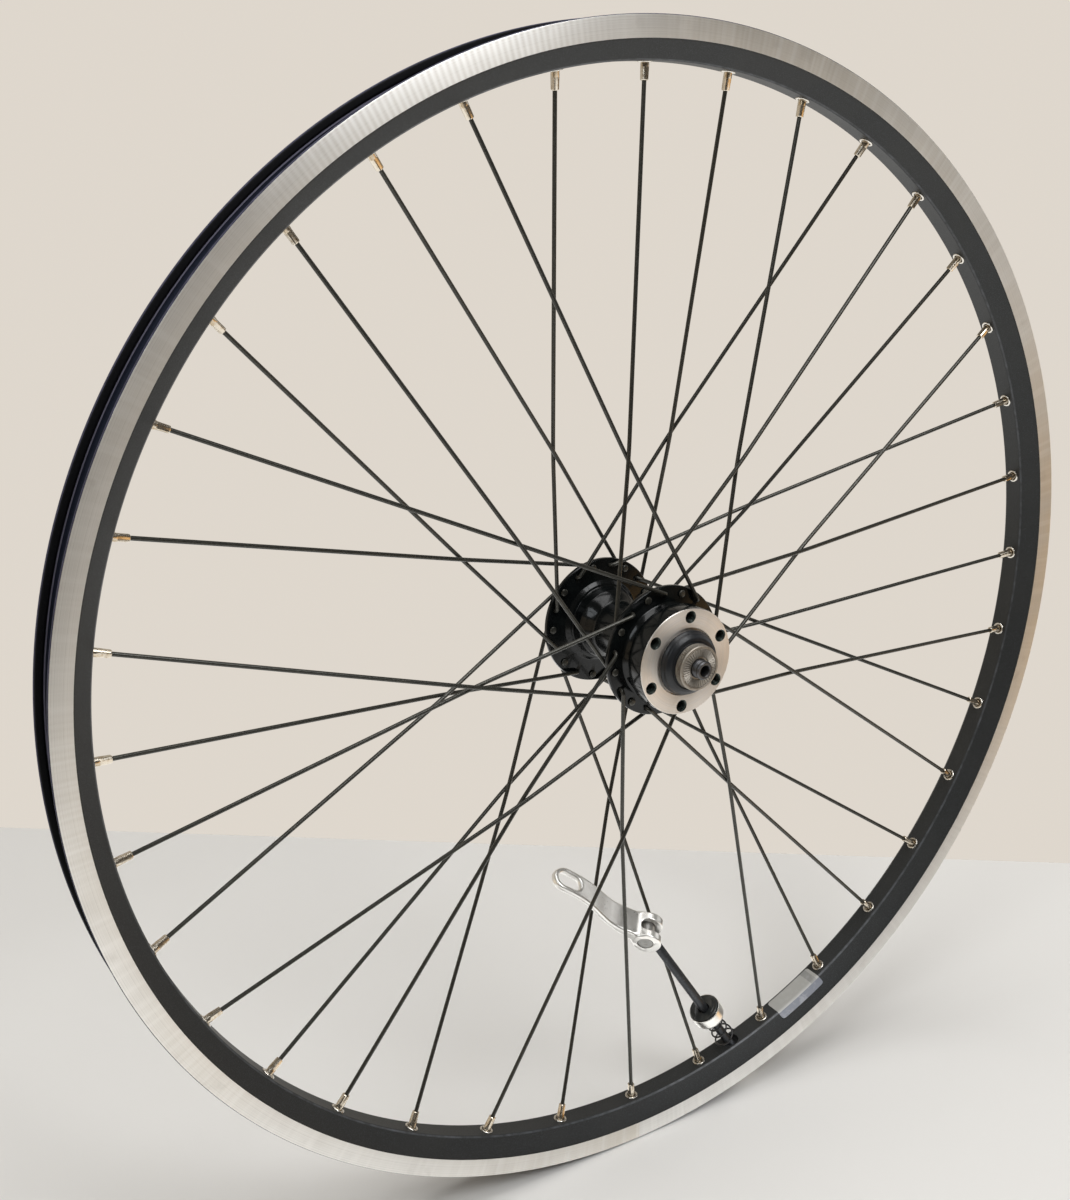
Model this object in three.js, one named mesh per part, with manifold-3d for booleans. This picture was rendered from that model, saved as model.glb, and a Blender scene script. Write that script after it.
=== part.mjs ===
// A 26-inch front bicycle wheel for a disc brake, with its quick-release skewer stored in the valve hole.
//
// Millimetres, +Z up. The origin is the centre of the wheel and the axle lies along Y, with the
// brake-disc side towards -Y. An angle round the wheel runs from +Z towards +X. Every bearing part is
// drawn for the +Y side and turned round for the disc side.

import * as THREE from 'three';
import { mergeVertices } from 'three/addons/utils/BufferGeometryUtils.js';
import Module from 'manifold-3d';

const wasm = await Module();
wasm.setup();

const DEG = Math.PI / 180;

// ---------------------------------------------------------------- driving dimensions

// Rim: ISO 559 bead seat, 24 mm wide and 18.6 mm high, hollow box with a machined brake track.
const RIM_R = 286;
const RIM_HALF_WIDTH = 12;
const BED_R = 267.4;
const TRACK_INNER_R = 276.2;
const BEAD_SEAT_R = 279.5;
const BEAD_HALF_WIDTH = 9.5;
const WELL_R = 277.4;
const WELL_HALF_WIDTH = 5.6;
const RIM_WALL = 1.4;
const NIPPLE_HOLE_R = 2.9;
const VALVE_HOLE_R = 4.5;
const RIM_SEGMENTS = 72;

// Spokes: 36, laced three-cross, plain 2 mm wire with 12 mm nipples.
const SPOKE_COUNT = 36;
const SPOKE_R = 1;
const SPOKE_STEP = 360 / SPOKE_COUNT;
const LACING_ANGLE = 60;
const FIRST_NIPPLE_ANGLE = -20.6;
const OUTER_CROSSING = 0.3265;
const CROSSING_GAP = 2.5;
const ELBOW_R = 2.1;
const HEAD_R = 1.9;
const HEAD_HEIGHT = 0.9;
const NIPPLE_R = 1.95;
const NIPPLE_HEAD_R = 2.95;
const NIPPLE_HEAD_HEIGHT = 2;
const NIPPLE_REACH = 8.2;
const NIPPLE_SEAT = 2.4;
const CLEARANCE = 0.3;

// Hub: 100 mm over the locknuts, 108 mm hollow axle, six-bolt disc mount.
const LOCKNUT_FACE = 50;
const AXLE_END = 54;
const AXLE_R = 4.5;
const AXLE_BORE_R = 2.6;
const DISC_FACE = -39.5;
const DISC_MOUNT_R = 26.2;
const DISC_RECESS_R = 16.6;
const DISC_RECESS_DEPTH = 1.2;
const DISC_BOLT_CIRCLE_R = 22;
const DISC_BOLT_HOLE_R = 2.1;
const DISC_BOLT_DEPTH = 8;
const DISC_BOLT_COUNT = 6;
const FIRST_BOLT_ANGLE = 4.8;
const FLANGE_R = 32.5;
const FLANGE_THICKNESS = 2.6;
const FLANGE_HOLE_CIRCLE_R = 29;
const FLANGE_HOLE_R = 1.6;
const NEAR_FLANGE = -20.5;
const FAR_FLANGE = 33.5;
const SHELL_END = 40;
const HUB_SEGMENTS = 24;
const SMALL_SEGMENTS = 16;
const SHELL_BORE_R = 10;
const CUP_SEAT_R = 13.5;
const CUP_SEAT_DEPTH = 30.2;

// Bearings: ten 3/16-inch balls a side in a retainer, between a pressed cup and a threaded cone.
const BALL_R = 2.38;
const BALL_COUNT = 10;
const BALL_CIRCLE_R = 8.7;
const BALL_PLANE = 35;
const RACE_R = 2.75;

// Skewer: stored with its threaded end through the valve hole, leaning as far as the hole lets it.
const VALVE_ANGLE = 164.4;
const SKEWER_LEAN = 18;
const VALVE_MID_R = (BED_R + WELL_R) / 2;
const ROD_R = 2.5;
const ROD_TAIL = -18;
const PIVOT_HEIGHT = 113.6;
const BARREL_R = 4;
const BARREL_HALF_LENGTH = 7.6;
const BARREL_TURN = -46.5;
const LEVER_SWING = -24;
const LEVER_LENGTH = 63.8;
const LEVER_HALF_WIDTH = 6.5;
const LEVER_THICKNESS = 3.6;
const CAM_R = 7.6;
const CAM_OFFSET = -0.9;
const FORK_GAP = 6.4;
const CUP_R = 9;
const CUP_BACK = 30.3;
const CUP_FRONT = 39.4;
const LINER_R = 8.3;
const LINER_FRONT = 40.4;
const NUT_R = 8;
const NUT_FACE = -10;
const NUT_LENGTH = 10;

// ---------------------------------------------------------------- materials

function finish(color, roughness, metalness) {
  return new THREE.MeshStandardMaterial({ color, roughness, metalness });
}

const MATERIALS = {
  anodised: finish(0x2b2d31, 0.5, 0.7),
  blackWire: finish(0x23241f, 0.35, 0.8),
  gloss: finish(0x0d1012, 0.18, 0.5),
  steel: finish(0x8f8a84, 0.35, 0.9),
  blackSteel: finish(0x34363a, 0.45, 0.8),
  chrome: finish(0xd9d8d2, 0.12, 1),
  plastic: finish(0x1d1f21, 0.5, 0),
  rubber: finish(0x303237, 0.6, 0),
};

// ---------------------------------------------------------------- geometry helpers

// Joins shared corners, drops the slivers that this leaves at an axis, and makes the faces point out.
function weld(geometry) {
  const bare = geometry.clone();
  bare.deleteAttribute('normal');
  bare.deleteAttribute('uv');
  const merged = mergeVertices(bare, 1e-4);
  const points = merged.attributes.position.array;
  const corners = merged.index.array;
  const kept = [];
  let volume = 0;
  for (let i = 0; i < corners.length; i += 3) {
    const [a, b, c] = [corners[i], corners[i + 1], corners[i + 2]];
    if (a === b || b === c || c === a) continue;
    const [p, q, r] = [a, b, c].map((k) => new THREE.Vector3().fromArray(points, 3 * k));
    volume += p.dot(q.cross(r));
    kept.push([a, b, c]);
  }
  if (volume < 0) kept.forEach((face) => face.reverse());
  return { vertProperties: new Float32Array(points), triVerts: new Uint32Array(kept.flat()) };
}

function solid(geometry, matrix) {
  const placed = matrix ? geometry.clone().applyMatrix4(matrix) : geometry;
  return new wasm.Manifold(new wasm.Mesh({ numProp: 3, ...weld(placed) }));
}

function union(pieces) {
  return pieces.reduce((whole, piece) => whole.add(piece));
}

function cut(body, tools) {
  return tools.reduce((left, tool) => left.subtract(tool), body);
}

function toGeometry(body) {
  const mesh = body.getMesh();
  const geometry = new THREE.BufferGeometry();
  geometry.setAttribute('position', new THREE.BufferAttribute(mesh.vertProperties, 3));
  geometry.setIndex(new THREE.BufferAttribute(mesh.triVerts, 1));
  geometry.computeVertexNormals();
  return geometry;
}

function named(name, body, material) {
  const mesh = new THREE.Mesh(toGeometry(body), material);
  mesh.name = name;
  return mesh;
}

// A ring or spindle turned about Y, from [radius, height] points of its section.
function turned(section, segments, phase = 0) {
  const points = section.map(([radius, height]) => new THREE.Vector2(radius, height));
  if (section[0][0] > 0) points.push(points[0].clone());
  return solid(new THREE.LatheGeometry(points, segments, phase * DEG));
}

// The same, with its axis along Z.
function turnedOnZ(section, segments) {
  const standing = new THREE.Matrix4().makeRotationX(Math.PI / 2);
  return turned(section, segments).transform(standing.elements);
}

function mirrored(section) {
  return section.concat(section.map(([radius, height]) => [radius, -height]).reverse());
}

// A rod between two points.
function bar(from, to, radius, sides) {
  const along = to.clone().sub(from);
  const up = new THREE.Vector3(0, 1, 0);
  const turn = new THREE.Quaternion().setFromUnitVectors(up, along.clone().normalize());
  const middle = from.clone().add(to).multiplyScalar(0.5);
  const matrix = new THREE.Matrix4().compose(middle, turn, new THREE.Vector3(1, 1, 1));
  return solid(new THREE.CylinderGeometry(radius, radius, along.length(), sides), matrix);
}

// A point of the wheel at a radius, an angle and a place along the axle.
function onWheel(radius, angle, y) {
  return new THREE.Vector3(radius * Math.sin(angle * DEG), y, radius * Math.cos(angle * DEG));
}

// A curve through chosen stations, so that a swept wire has a ring only where it bends.
class Stations extends THREE.Curve {
  constructor(points) {
    super();
    this.points = points;
  }

  getPoint(t, target = new THREE.Vector3()) {
    const place = Math.min(t, 1) * (this.points.length - 1);
    const index = Math.min(Math.floor(place + 1e-9), this.points.length - 2);
    return target.lerpVectors(this.points[index], this.points[index + 1], place - index);
  }

  getPointAt(u, target) {
    return this.getPoint(u, target);
  }

  getTangentAt(u, target = new THREE.Vector3()) {
    const half = 0.5 / (this.points.length - 1);
    const before = this.getPoint(Math.max(u - half, 0));
    return target.copy(this.getPoint(Math.min(u + half, 1))).sub(before).normalize();
  }
}

function wire(points, radius, sides) {
  const outline = new THREE.Shape();
  for (let i = 0; i < sides; i += 1) {
    const angle = (2 * Math.PI * i) / sides;
    if (i === 0) outline.moveTo(radius, 0);
    else outline.lineTo(radius * Math.cos(angle), radius * Math.sin(angle));
  }
  const options = { steps: points.length - 1, extrudePath: new Stations(points) };
  return solid(new THREE.ExtrudeGeometry(outline, options));
}

// ---------------------------------------------------------------- rim

function makeRim() {
  const outside = mirrored([
    [BED_R, 4.2],
    [BED_R + 0.6, 5.6],
    [TRACK_INNER_R, RIM_HALF_WIDTH],
    [RIM_R, RIM_HALF_WIDTH],
    [RIM_R, RIM_HALF_WIDTH - 1.6],
    [BEAD_SEAT_R, BEAD_HALF_WIDTH],
    [WELL_R, WELL_HALF_WIDTH],
  ]);
  const hollow = mirrored([
    [BED_R + RIM_WALL, 4.2],
    [WELL_R - RIM_WALL, 9],
  ]);
  const holes = [];
  for (let i = 0; i < SPOKE_COUNT; i += 1) {
    const angle = FIRST_NIPPLE_ANGLE + SPOKE_STEP * i;
    holes.push(bar(onWheel(BED_R - 1, angle, 0), onWheel(BED_R + 3, angle, 0), NIPPLE_HOLE_R, 6));
  }
  holes.push(bar(onWheel(BED_R - 1, VALVE_ANGLE, 0), onWheel(WELL_R + 1, VALVE_ANGLE, 0), VALVE_HOLE_R, 16));
  return cut(turned(outside, RIM_SEGMENTS).subtract(turned(hollow, RIM_SEGMENTS)), holes);
}

// ---------------------------------------------------------------- spokes

function makeNipple(foot, direction) {
  const seat = NIPPLE_REACH + NIPPLE_SEAT;
  const end = seat + NIPPLE_HEAD_HEIGHT;
  const section = [[0, 0], [NIPPLE_R, 0], [NIPPLE_R, seat], [NIPPLE_HEAD_R, seat], [NIPPLE_HEAD_R, end], [0, end]];
  const nipple = turned(section, 6);
  const turn = new THREE.Quaternion().setFromUnitVectors(new THREE.Vector3(0, 1, 0), direction);
  return nipple.transform(new THREE.Matrix4().compose(foot, turn, new THREE.Vector3(1, 1, 1)).elements);
}

// Drawn with its nipple at the top of the wheel. side is +1 at the far flange and -1 at the disc side;
// turn is +1 where the hub hole lies further round than the nipple. A spoke with turn +1 runs down the
// outside of its flange and passes inside the other spoke at their last crossing.
function makeSpoke(side, turn) {
  const flange = side > 0 ? FAR_FLANGE : NEAR_FLANGE;
  const outward = side * turn;
  const flangeHalf = FLANGE_THICKNESS / 2;
  const hole = onWheel(FLANGE_HOLE_CIRCLE_R, LACING_ANGLE * turn, flange);
  const bed = new THREE.Vector3(0, 0, BED_R);
  const along = new THREE.Vector3(bed.x - hole.x, 0, bed.z - hole.z).normalize();
  const axial = new THREE.Vector3(0, outward, 0);
  const elbow = (angle) => hole.clone()
    .addScaledVector(axial, flangeHalf + ELBOW_R * Math.sin(angle * DEG))
    .addScaledVector(along, ELBOW_R * (1 - Math.cos(angle * DEG)));
  const headOuter = hole.clone().addScaledVector(axial, -flangeHalf - CLEARANCE - HEAD_HEIGHT);
  const headInner = headOuter.clone().addScaledVector(axial, HEAD_HEIGHT);

  const crossing = hole.clone().lerp(bed, OUTER_CROSSING);
  const flangeLine = flange * (1 - OUTER_CROSSING);
  crossing.y = flangeLine - (axial.y * CROSSING_GAP) / 2;

  const approach = bed.clone().sub(crossing).normalize();
  const nippleFoot = bed.clone().addScaledVector(approach, -NIPPLE_REACH);
  const run = [headOuter, elbow(0), elbow(45), elbow(90), crossing, nippleFoot.clone().add(approach)];
  const head = bar(headOuter, headInner, HEAD_R, 6);
  return union([wire(run, SPOKE_R, 6), head, makeNipple(nippleFoot, approach)]);
}

function makeSpokes() {
  const group = new THREE.Group();
  const patterns = [makeSpoke(-1, 1), makeSpoke(1, -1), makeSpoke(-1, -1), makeSpoke(1, 1)];
  for (let i = 0; i < SPOKE_COUNT; i += 1) {
    const name = `spoke_${String(i + 1).padStart(2, '0')}`;
    const mesh = named(name, patterns[i % patterns.length], MATERIALS.blackWire);
    mesh.rotation.y = (FIRST_NIPPLE_ANGLE + SPOKE_STEP * i) * DEG;
    group.add(mesh);
  }
  return group;
}

// ---------------------------------------------------------------- hub shell

function makeHubShell() {
  const half = FLANGE_THICKNESS / 2;
  const section = [
    [DISC_RECESS_R, DISC_FACE],
    [DISC_RECESS_R, DISC_FACE + DISC_RECESS_DEPTH],
    [CUP_SEAT_R, DISC_FACE + DISC_RECESS_DEPTH],
    [CUP_SEAT_R, -CUP_SEAT_DEPTH],
    [SHELL_BORE_R, -CUP_SEAT_DEPTH],
    [SHELL_BORE_R, CUP_SEAT_DEPTH],
    [CUP_SEAT_R, CUP_SEAT_DEPTH],
    [CUP_SEAT_R, SHELL_END],
    [16.5, SHELL_END],
    [17.5, FAR_FLANGE + half + 0.6],
    [25, FAR_FLANGE + half],
    [FLANGE_R, FAR_FLANGE + half],
    [FLANGE_R, FAR_FLANGE - half],
    [21, FAR_FLANGE - half],
    [18, 28],
    [17, 22.5],
    [13.6, 19],
    [13.6, -8],
    [19, -17],
    [22, NEAR_FLANGE + half],
    [FLANGE_R, NEAR_FLANGE + half],
    [FLANGE_R, NEAR_FLANGE - half],
    [24, NEAR_FLANGE - half],
    [22, -25],
    [DISC_MOUNT_R, -30],
    [DISC_MOUNT_R, DISC_FACE],
  ];
  const holes = [];
  const hubHoles = SPOKE_COUNT / 2;
  for (let i = 0; i < hubHoles; i += 1) {
    const nearAngle = FIRST_NIPPLE_ANGLE + LACING_ANGLE + 2 * SPOKE_STEP * i;
    for (const [flange, angle] of [[NEAR_FLANGE, nearAngle], [FAR_FLANGE, nearAngle + SPOKE_STEP]]) {
      const from = onWheel(FLANGE_HOLE_CIRCLE_R, angle, flange - half - 1);
      const to = onWheel(FLANGE_HOLE_CIRCLE_R, angle, flange + half + 1);
      holes.push(bar(from, to, FLANGE_HOLE_R, 6));
    }
  }
  for (let i = 0; i < DISC_BOLT_COUNT; i += 1) {
    const angle = FIRST_BOLT_ANGLE + (360 / DISC_BOLT_COUNT) * i;
    const from = onWheel(DISC_BOLT_CIRCLE_R, angle, DISC_FACE - 1);
    const to = onWheel(DISC_BOLT_CIRCLE_R, angle, DISC_FACE + DISC_BOLT_DEPTH);
    holes.push(bar(from, to, DISC_BOLT_HOLE_R, 8));
  }
  return cut(turned(section, HUB_SEGMENTS), holes);
}

// ---------------------------------------------------------------- bearings and axle

// A race is an arc of the groove round the balls, from one angle to another in the section plane.
function race(fromAngle, toAngle, steps) {
  const points = [];
  for (let i = 0; i <= steps; i += 1) {
    const angle = (fromAngle + ((toAngle - fromAngle) * i) / steps) * DEG;
    points.push([BALL_CIRCLE_R + RACE_R * Math.cos(angle), BALL_PLANE + RACE_R * Math.sin(angle)]);
  }
  return points;
}

function makeCup() {
  return turned([
    [13.2, 30.5],
    [13.2, 39.2],
    [11.7, 39.2],
    ...race(0, -90, 2),
    [7.4, 32],
    [7.4, 30.5],
  ], SMALL_SEGMENTS);
}

function makeCone() {
  return turned([
    [AXLE_R + CLEARANCE, 33.2],
    [5.7, 33.2],
    ...race(180, 90, 2),
    [9.6, 38.2],
    [9.6, 40.6],
    [8.3, 41],
    [8.3, 45],
    [AXLE_R + CLEARANCE, 45],
  ], SMALL_SEGMENTS);
}

function makeSeal() {
  return turned([[9.9, 38.4], [11.4, 38.4], [11.4, 40.1], [9.9, 40.1]], SMALL_SEGMENTS);
}

function makeBallCage() {
  const pieces = [turned([[8.1, 36.6], [8.1, 36], [9.3, 36], [9.3, 36.6]], SMALL_SEGMENTS)];
  for (let i = 0; i < BALL_COUNT; i += 1) {
    const centre = onWheel(BALL_CIRCLE_R, (360 / BALL_COUNT) * i, BALL_PLANE);
    const place = new THREE.Matrix4().makeTranslation(centre.x, centre.y, centre.z);
    pieces.push(solid(new THREE.IcosahedronGeometry(BALL_R, 0), place));
  }
  return union(pieces);
}

// The rubber boot on the cone, bowed over the bearing and clear of the turning shell.
function makeBoot() {
  const section = [[8.7, 41.3], [12.4, 40.9], [15.6, 40.1], [15.9, 41], [14.6, 43.6], [12, 45], [8.7, 45]];
  return turned(section, SMALL_SEGMENTS);
}

function makeLocknut() {
  const chamfer = 0.8;
  return turned([
    [AXLE_R + CLEARANCE, 45.3],
    [11, 45.3],
    [11, LOCKNUT_FACE - chamfer],
    [11 - chamfer, LOCKNUT_FACE],
    [AXLE_R + CLEARANCE, LOCKNUT_FACE],
  ], SMALL_SEGMENTS);
}

function makeAxle() {
  const chamfer = 0.6;
  return turned(mirrored([
    [AXLE_R, AXLE_END - chamfer],
    [AXLE_R - chamfer, AXLE_END],
    [AXLE_BORE_R, AXLE_END],
  ]), SMALL_SEGMENTS);
}

function makeBearings() {
  const group = new THREE.Group();
  const pieces = [
    ['bearing_cup', makeCup(), MATERIALS.steel],
    ['ball_cage', makeBallCage(), MATERIALS.steel],
    ['cone', makeCone(), MATERIALS.steel],
    ['seal_ring', makeSeal(), MATERIALS.rubber],
    ['dust_boot', makeBoot(), MATERIALS.rubber],
    ['locknut', makeLocknut(), MATERIALS.steel],
  ];
  for (const [name, body, material] of pieces) {
    group.add(named(`${name}_far_side`, body, material));
    const discSide = named(`${name}_disc_side`, body, material);
    discSide.rotation.x = Math.PI;
    group.add(discSide);
  }
  return group;
}

// ---------------------------------------------------------------- skewer

// The skewer is drawn along Z, from the middle of the valve hole towards its lever.

function makeRod() {
  const end = PIVOT_HEIGHT + 2.4;
  return turnedOnZ([[0, ROD_TAIL], [ROD_R, ROD_TAIL], [ROD_R, end], [0, end]], 12);
}

function makeBarrel() {
  const half = BARREL_HALF_LENGTH;
  const barrel = turned([[0, -half], [BARREL_R, -half], [BARREL_R, half], [0, half]], 20);
  const socket = bar(new THREE.Vector3(0, 0, -6), new THREE.Vector3(0, 0, 2.8), ROD_R + CLEARANCE + 0.1, 12);
  return barrel.subtract(socket);
}

function makeCupBody() {
  return turnedOnZ([
    [ROD_R + 0.4, CUP_BACK],
    [6.4, CUP_BACK],
    [8.2, CUP_BACK + 0.9],
    [CUP_R, CUP_BACK + 2.6],
    [CUP_R, CUP_FRONT],
    [LINER_R + CLEARANCE, CUP_FRONT],
    [LINER_R + CLEARANCE, CUP_BACK + 3],
    [ROD_R + 0.4, CUP_BACK + 3],
  ], SMALL_SEGMENTS);
}

// The plastic liner carries a shallow cradle that the lever's cam turns in.
function makeLiner() {
  const liner = turnedOnZ([
    [ROD_R + 0.7, CUP_BACK + 3.3],
    [LINER_R, CUP_BACK + 3.3],
    [LINER_R, LINER_FRONT - 0.5],
    [LINER_R - 0.5, LINER_FRONT],
    [ROD_R + 0.7, LINER_FRONT],
  ], SMALL_SEGMENTS);
  const cradleR = 14;
  const height = LINER_FRONT - 0.9 + cradleR;
  const cradle = bar(new THREE.Vector3(0, -12, height), new THREE.Vector3(0, 12, height), cradleR, 48);
  const turn = new THREE.Matrix4().makeRotationZ(BARREL_TURN * DEG);
  return liner.subtract(cradle.transform(turn.elements));
}

// A conical coil of round wire round the rod.
function makeCoil(fromZ, toZ, fromR, toR, turns, wireR) {
  const stepsPerTurn = 8;
  const steps = Math.round(turns * stepsPerTurn);
  const points = [];
  for (let i = 0; i <= steps; i += 1) {
    const part = i / steps;
    const angle = (2 * Math.PI * i) / stepsPerTurn;
    const radius = fromR + (toR - fromR) * part;
    const z = fromZ + (toZ - fromZ) * part;
    points.push(new THREE.Vector3(radius * Math.cos(angle), radius * Math.sin(angle), z));
  }
  return wire(points, wireR, 5);
}

function makeNut() {
  const end = NUT_FACE - NUT_LENGTH;
  return turnedOnZ([
    [ROD_R + CLEARANCE, NUT_FACE],
    [NUT_R - 0.6, NUT_FACE],
    [NUT_R, NUT_FACE - 0.6],
    [NUT_R, NUT_FACE - 3.4],
    [NUT_R - 1.6, NUT_FACE - 5],
    [NUT_R - 1.8, end + 0.8],
    [NUT_R - 2.8, end],
    [0, end],
    [0, ROD_TAIL - 0.8],
    [ROD_R + CLEARANCE, ROD_TAIL - 0.8],
  ].reverse(), SMALL_SEGMENTS);
}

// The lever is drawn with its barrel axis along Y and its arm along Z. X is the arm's thickness.
function makeLever() {
  const sideways = new THREE.Matrix4().makeBasis(
    new THREE.Vector3(0, 0, 1),
    new THREE.Vector3(1, 0, 0),
    new THREE.Vector3(0, 1, 0),
  );
  const flat = new THREE.Matrix4().makeBasis(
    new THREE.Vector3(0, 0, 1),
    new THREE.Vector3(0, 1, 0),
    new THREE.Vector3(-1, 0, 0),
  );

  // The arm seen from the side: a strip bowed one way near the fork and the other way near the tip.
  const bow = new THREE.CatmullRomCurve3([
    new THREE.Vector3(3, 0, 0),
    new THREE.Vector3(13, -1.6, 0),
    new THREE.Vector3(24, -2, 0),
    new THREE.Vector3(42, 2, 0),
    new THREE.Vector3(52, 1.9, 0),
    new THREE.Vector3(LEVER_LENGTH, 0, 0),
  ]);
  const bowSteps = 9;
  const upper = [];
  const lower = [];
  for (let i = 0; i <= bowSteps; i += 1) {
    const place = bow.getPointAt(i / bowSteps);
    const half = LEVER_THICKNESS / 2 + 1.4 * Math.max(0, 1 - i / 4);
    upper.push(new THREE.Vector2(place.x, place.y + half));
    lower.unshift(new THREE.Vector2(place.x, place.y - half));
  }
  const width = 2 * BARREL_HALF_LENGTH;
  const profile = new THREE.Shape(upper.concat(lower));
  const strip = new THREE.ExtrudeGeometry(profile, { depth: width, bevelEnabled: false });
  strip.translate(0, 0, -BARREL_HALF_LENGTH);

  // The arm seen from above: wide at the fork, round at the tip, with an oval finger loop.
  const plan = new THREE.Shape();
  const w = LEVER_HALF_WIDTH;
  plan.moveTo(-10, -BARREL_HALF_LENGTH);
  plan.lineTo(10, -BARREL_HALF_LENGTH);
  plan.quadraticCurveTo(17, -w, 22, -w + 0.3);
  plan.lineTo(LEVER_LENGTH - w, -w);
  plan.absarc(LEVER_LENGTH - w, 0, w, -Math.PI / 2, Math.PI / 2, false);
  plan.lineTo(22, w - 0.3);
  plan.quadraticCurveTo(17, w, 10, BARREL_HALF_LENGTH);
  plan.lineTo(-10, BARREL_HALF_LENGTH);
  const loopR = 3.7;
  const loop = new THREE.Path();
  const loopStart = LEVER_LENGTH - 15.8;
  loop.moveTo(loopStart, -loopR + 0.4);
  loop.absarc(LEVER_LENGTH - w, 0, loopR, -Math.PI / 2, Math.PI / 2, false);
  loop.lineTo(loopStart, loopR - 0.4);
  plan.holes.push(loop);
  const plate = new THREE.ExtrudeGeometry(plan, { depth: 30, bevelEnabled: false, curveSegments: 4 });
  plate.translate(0, 0, -15);

  const arm = solid(strip, sideways).intersect(solid(plate, flat));
  const camEnd = (y) => new THREE.Vector3(0, y, CAM_OFFSET);
  const head = bar(camEnd(-BARREL_HALF_LENGTH), camEnd(BARREL_HALF_LENGTH), CAM_R, SMALL_SEGMENTS);
  const bore = bar(new THREE.Vector3(0, -9, 0), new THREE.Vector3(0, 9, 0), BARREL_R + CLEARANCE, 20);
  const slot = solid(new THREE.BoxGeometry(20, FORK_GAP, 17), new THREE.Matrix4().makeTranslation(0, 0, -2.2));
  return cut(arm.add(head), [slot, bore]);
}

function makeSkewer() {
  const skewer = new THREE.Group();
  skewer.position.copy(onWheel(VALVE_MID_R, VALVE_ANGLE, 0));
  skewer.rotation.y = (VALVE_ANGLE + 180 - SKEWER_LEAN) * DEG;
  skewer.add(
    named('skewer_rod', makeRod(), MATERIALS.blackSteel),
    named('lever_cup', makeCupBody(), MATERIALS.chrome),
    named('cup_liner', makeLiner(), MATERIALS.plastic),
    named('lever_spring', makeCoil(8, 29.6, 6, 3.6, 5, 0.55), MATERIALS.blackSteel),
    named('nut_spring', makeCoil(-7.6, -9.3, 4.7, 3.4, 1.5, 0.45), MATERIALS.blackSteel),
    named('skewer_nut', makeNut(), MATERIALS.chrome),
  );
  const fork = new THREE.Group();
  fork.position.z = PIVOT_HEIGHT;
  fork.rotation.z = BARREL_TURN * DEG;
  fork.add(named('skewer_barrel', makeBarrel(), MATERIALS.blackSteel));
  const lever = named('skewer_lever', makeLever(), MATERIALS.chrome);
  lever.rotation.y = LEVER_SWING * DEG;
  fork.add(lever);
  skewer.add(fork);
  return skewer;
}

// ---------------------------------------------------------------- the wheel

const wheel = new THREE.Group();
wheel.add(
  named('rim', makeRim(), MATERIALS.anodised),
  makeSpokes(),
  named('hub_shell', makeHubShell(), MATERIALS.gloss),
  named('axle', makeAxle(), MATERIALS.blackSteel),
  makeBearings(),
  makeSkewer(),
);

export default wheel;
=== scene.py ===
"""Looks of a bicycle front wheel with its quick-release skewer stored in the valve hole.

Sizes are millimetres until a mesh is made, which scales them to metres. An angle round the wheel runs
from +Z towards +X, as in the CAD part, and the disc side is towards -Y.
"""

import math

import bmesh
import bpy
import numpy as np
from mathutils import Matrix, Vector


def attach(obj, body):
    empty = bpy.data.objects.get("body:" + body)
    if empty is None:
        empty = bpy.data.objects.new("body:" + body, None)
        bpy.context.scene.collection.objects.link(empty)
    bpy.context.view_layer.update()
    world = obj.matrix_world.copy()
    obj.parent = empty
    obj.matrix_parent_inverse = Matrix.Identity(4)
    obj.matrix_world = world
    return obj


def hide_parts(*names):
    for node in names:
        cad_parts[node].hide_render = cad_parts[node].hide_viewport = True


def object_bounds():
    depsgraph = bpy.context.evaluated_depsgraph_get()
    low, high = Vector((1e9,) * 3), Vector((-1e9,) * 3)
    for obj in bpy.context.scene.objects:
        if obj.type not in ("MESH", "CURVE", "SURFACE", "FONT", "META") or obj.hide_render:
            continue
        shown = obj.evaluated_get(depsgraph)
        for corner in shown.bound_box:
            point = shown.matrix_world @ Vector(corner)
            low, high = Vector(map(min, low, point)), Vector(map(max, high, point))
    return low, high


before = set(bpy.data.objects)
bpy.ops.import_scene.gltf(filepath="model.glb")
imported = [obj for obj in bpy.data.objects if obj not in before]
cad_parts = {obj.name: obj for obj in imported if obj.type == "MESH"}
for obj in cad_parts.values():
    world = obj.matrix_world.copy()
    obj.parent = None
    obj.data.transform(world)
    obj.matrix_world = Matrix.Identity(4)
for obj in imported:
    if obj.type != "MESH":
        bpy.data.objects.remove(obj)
cad_low, cad_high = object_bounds()

MM = 0.001
TAU = 2 * math.pi

# ---- sizes shared with the CAD part

RIM_R = 286
BED_R = 267.4
WELL_R = 277.4
SPOKE_COUNT = 36
SPOKE_STEP = 360 / SPOKE_COUNT
SPOKE_R = 1
LACING_ANGLE = 60
FIRST_NIPPLE_ANGLE = -20.6
OUTER_CROSSING = 0.3265
CROSSING_GAP = 2.5
ELBOW_R = 2.1
HEAD_R = 1.9
HEAD_HEIGHT = 0.9
NIPPLE_R = 1.95
NIPPLE_REACH = 8.2
NIPPLE_SEAT = 2.4
CLEARANCE = 0.3
FLANGE_HALF = 1.3
FLANGE_HOLE_CIRCLE_R = 29
NEAR_FLANGE = -20.5
FAR_FLANGE = 33.5
DISC_FACE = -39.5
DISC_MOUNT_R = 26.2
DISC_BOLT_CIRCLE_R = 22
DISC_BOLT_COUNT = 6
FIRST_BOLT_ANGLE = 4.8
LOCKNUT_FACE = 50
AXLE_R = 4.5
AXLE_END = 54
AXLE_BORE_R = 2.6
BALL_R = 2.38
BALL_COUNT = 10
BALL_CIRCLE_R = 8.7
BALL_PLANE = 35
RACE_R = 2.75
VALVE_ANGLE = 164.4
SKEWER_LEAN = 18
ROD_R = 2.5
ROD_TAIL = -18
PIVOT_HEIGHT = 113.6
BARREL_R = 4
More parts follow.
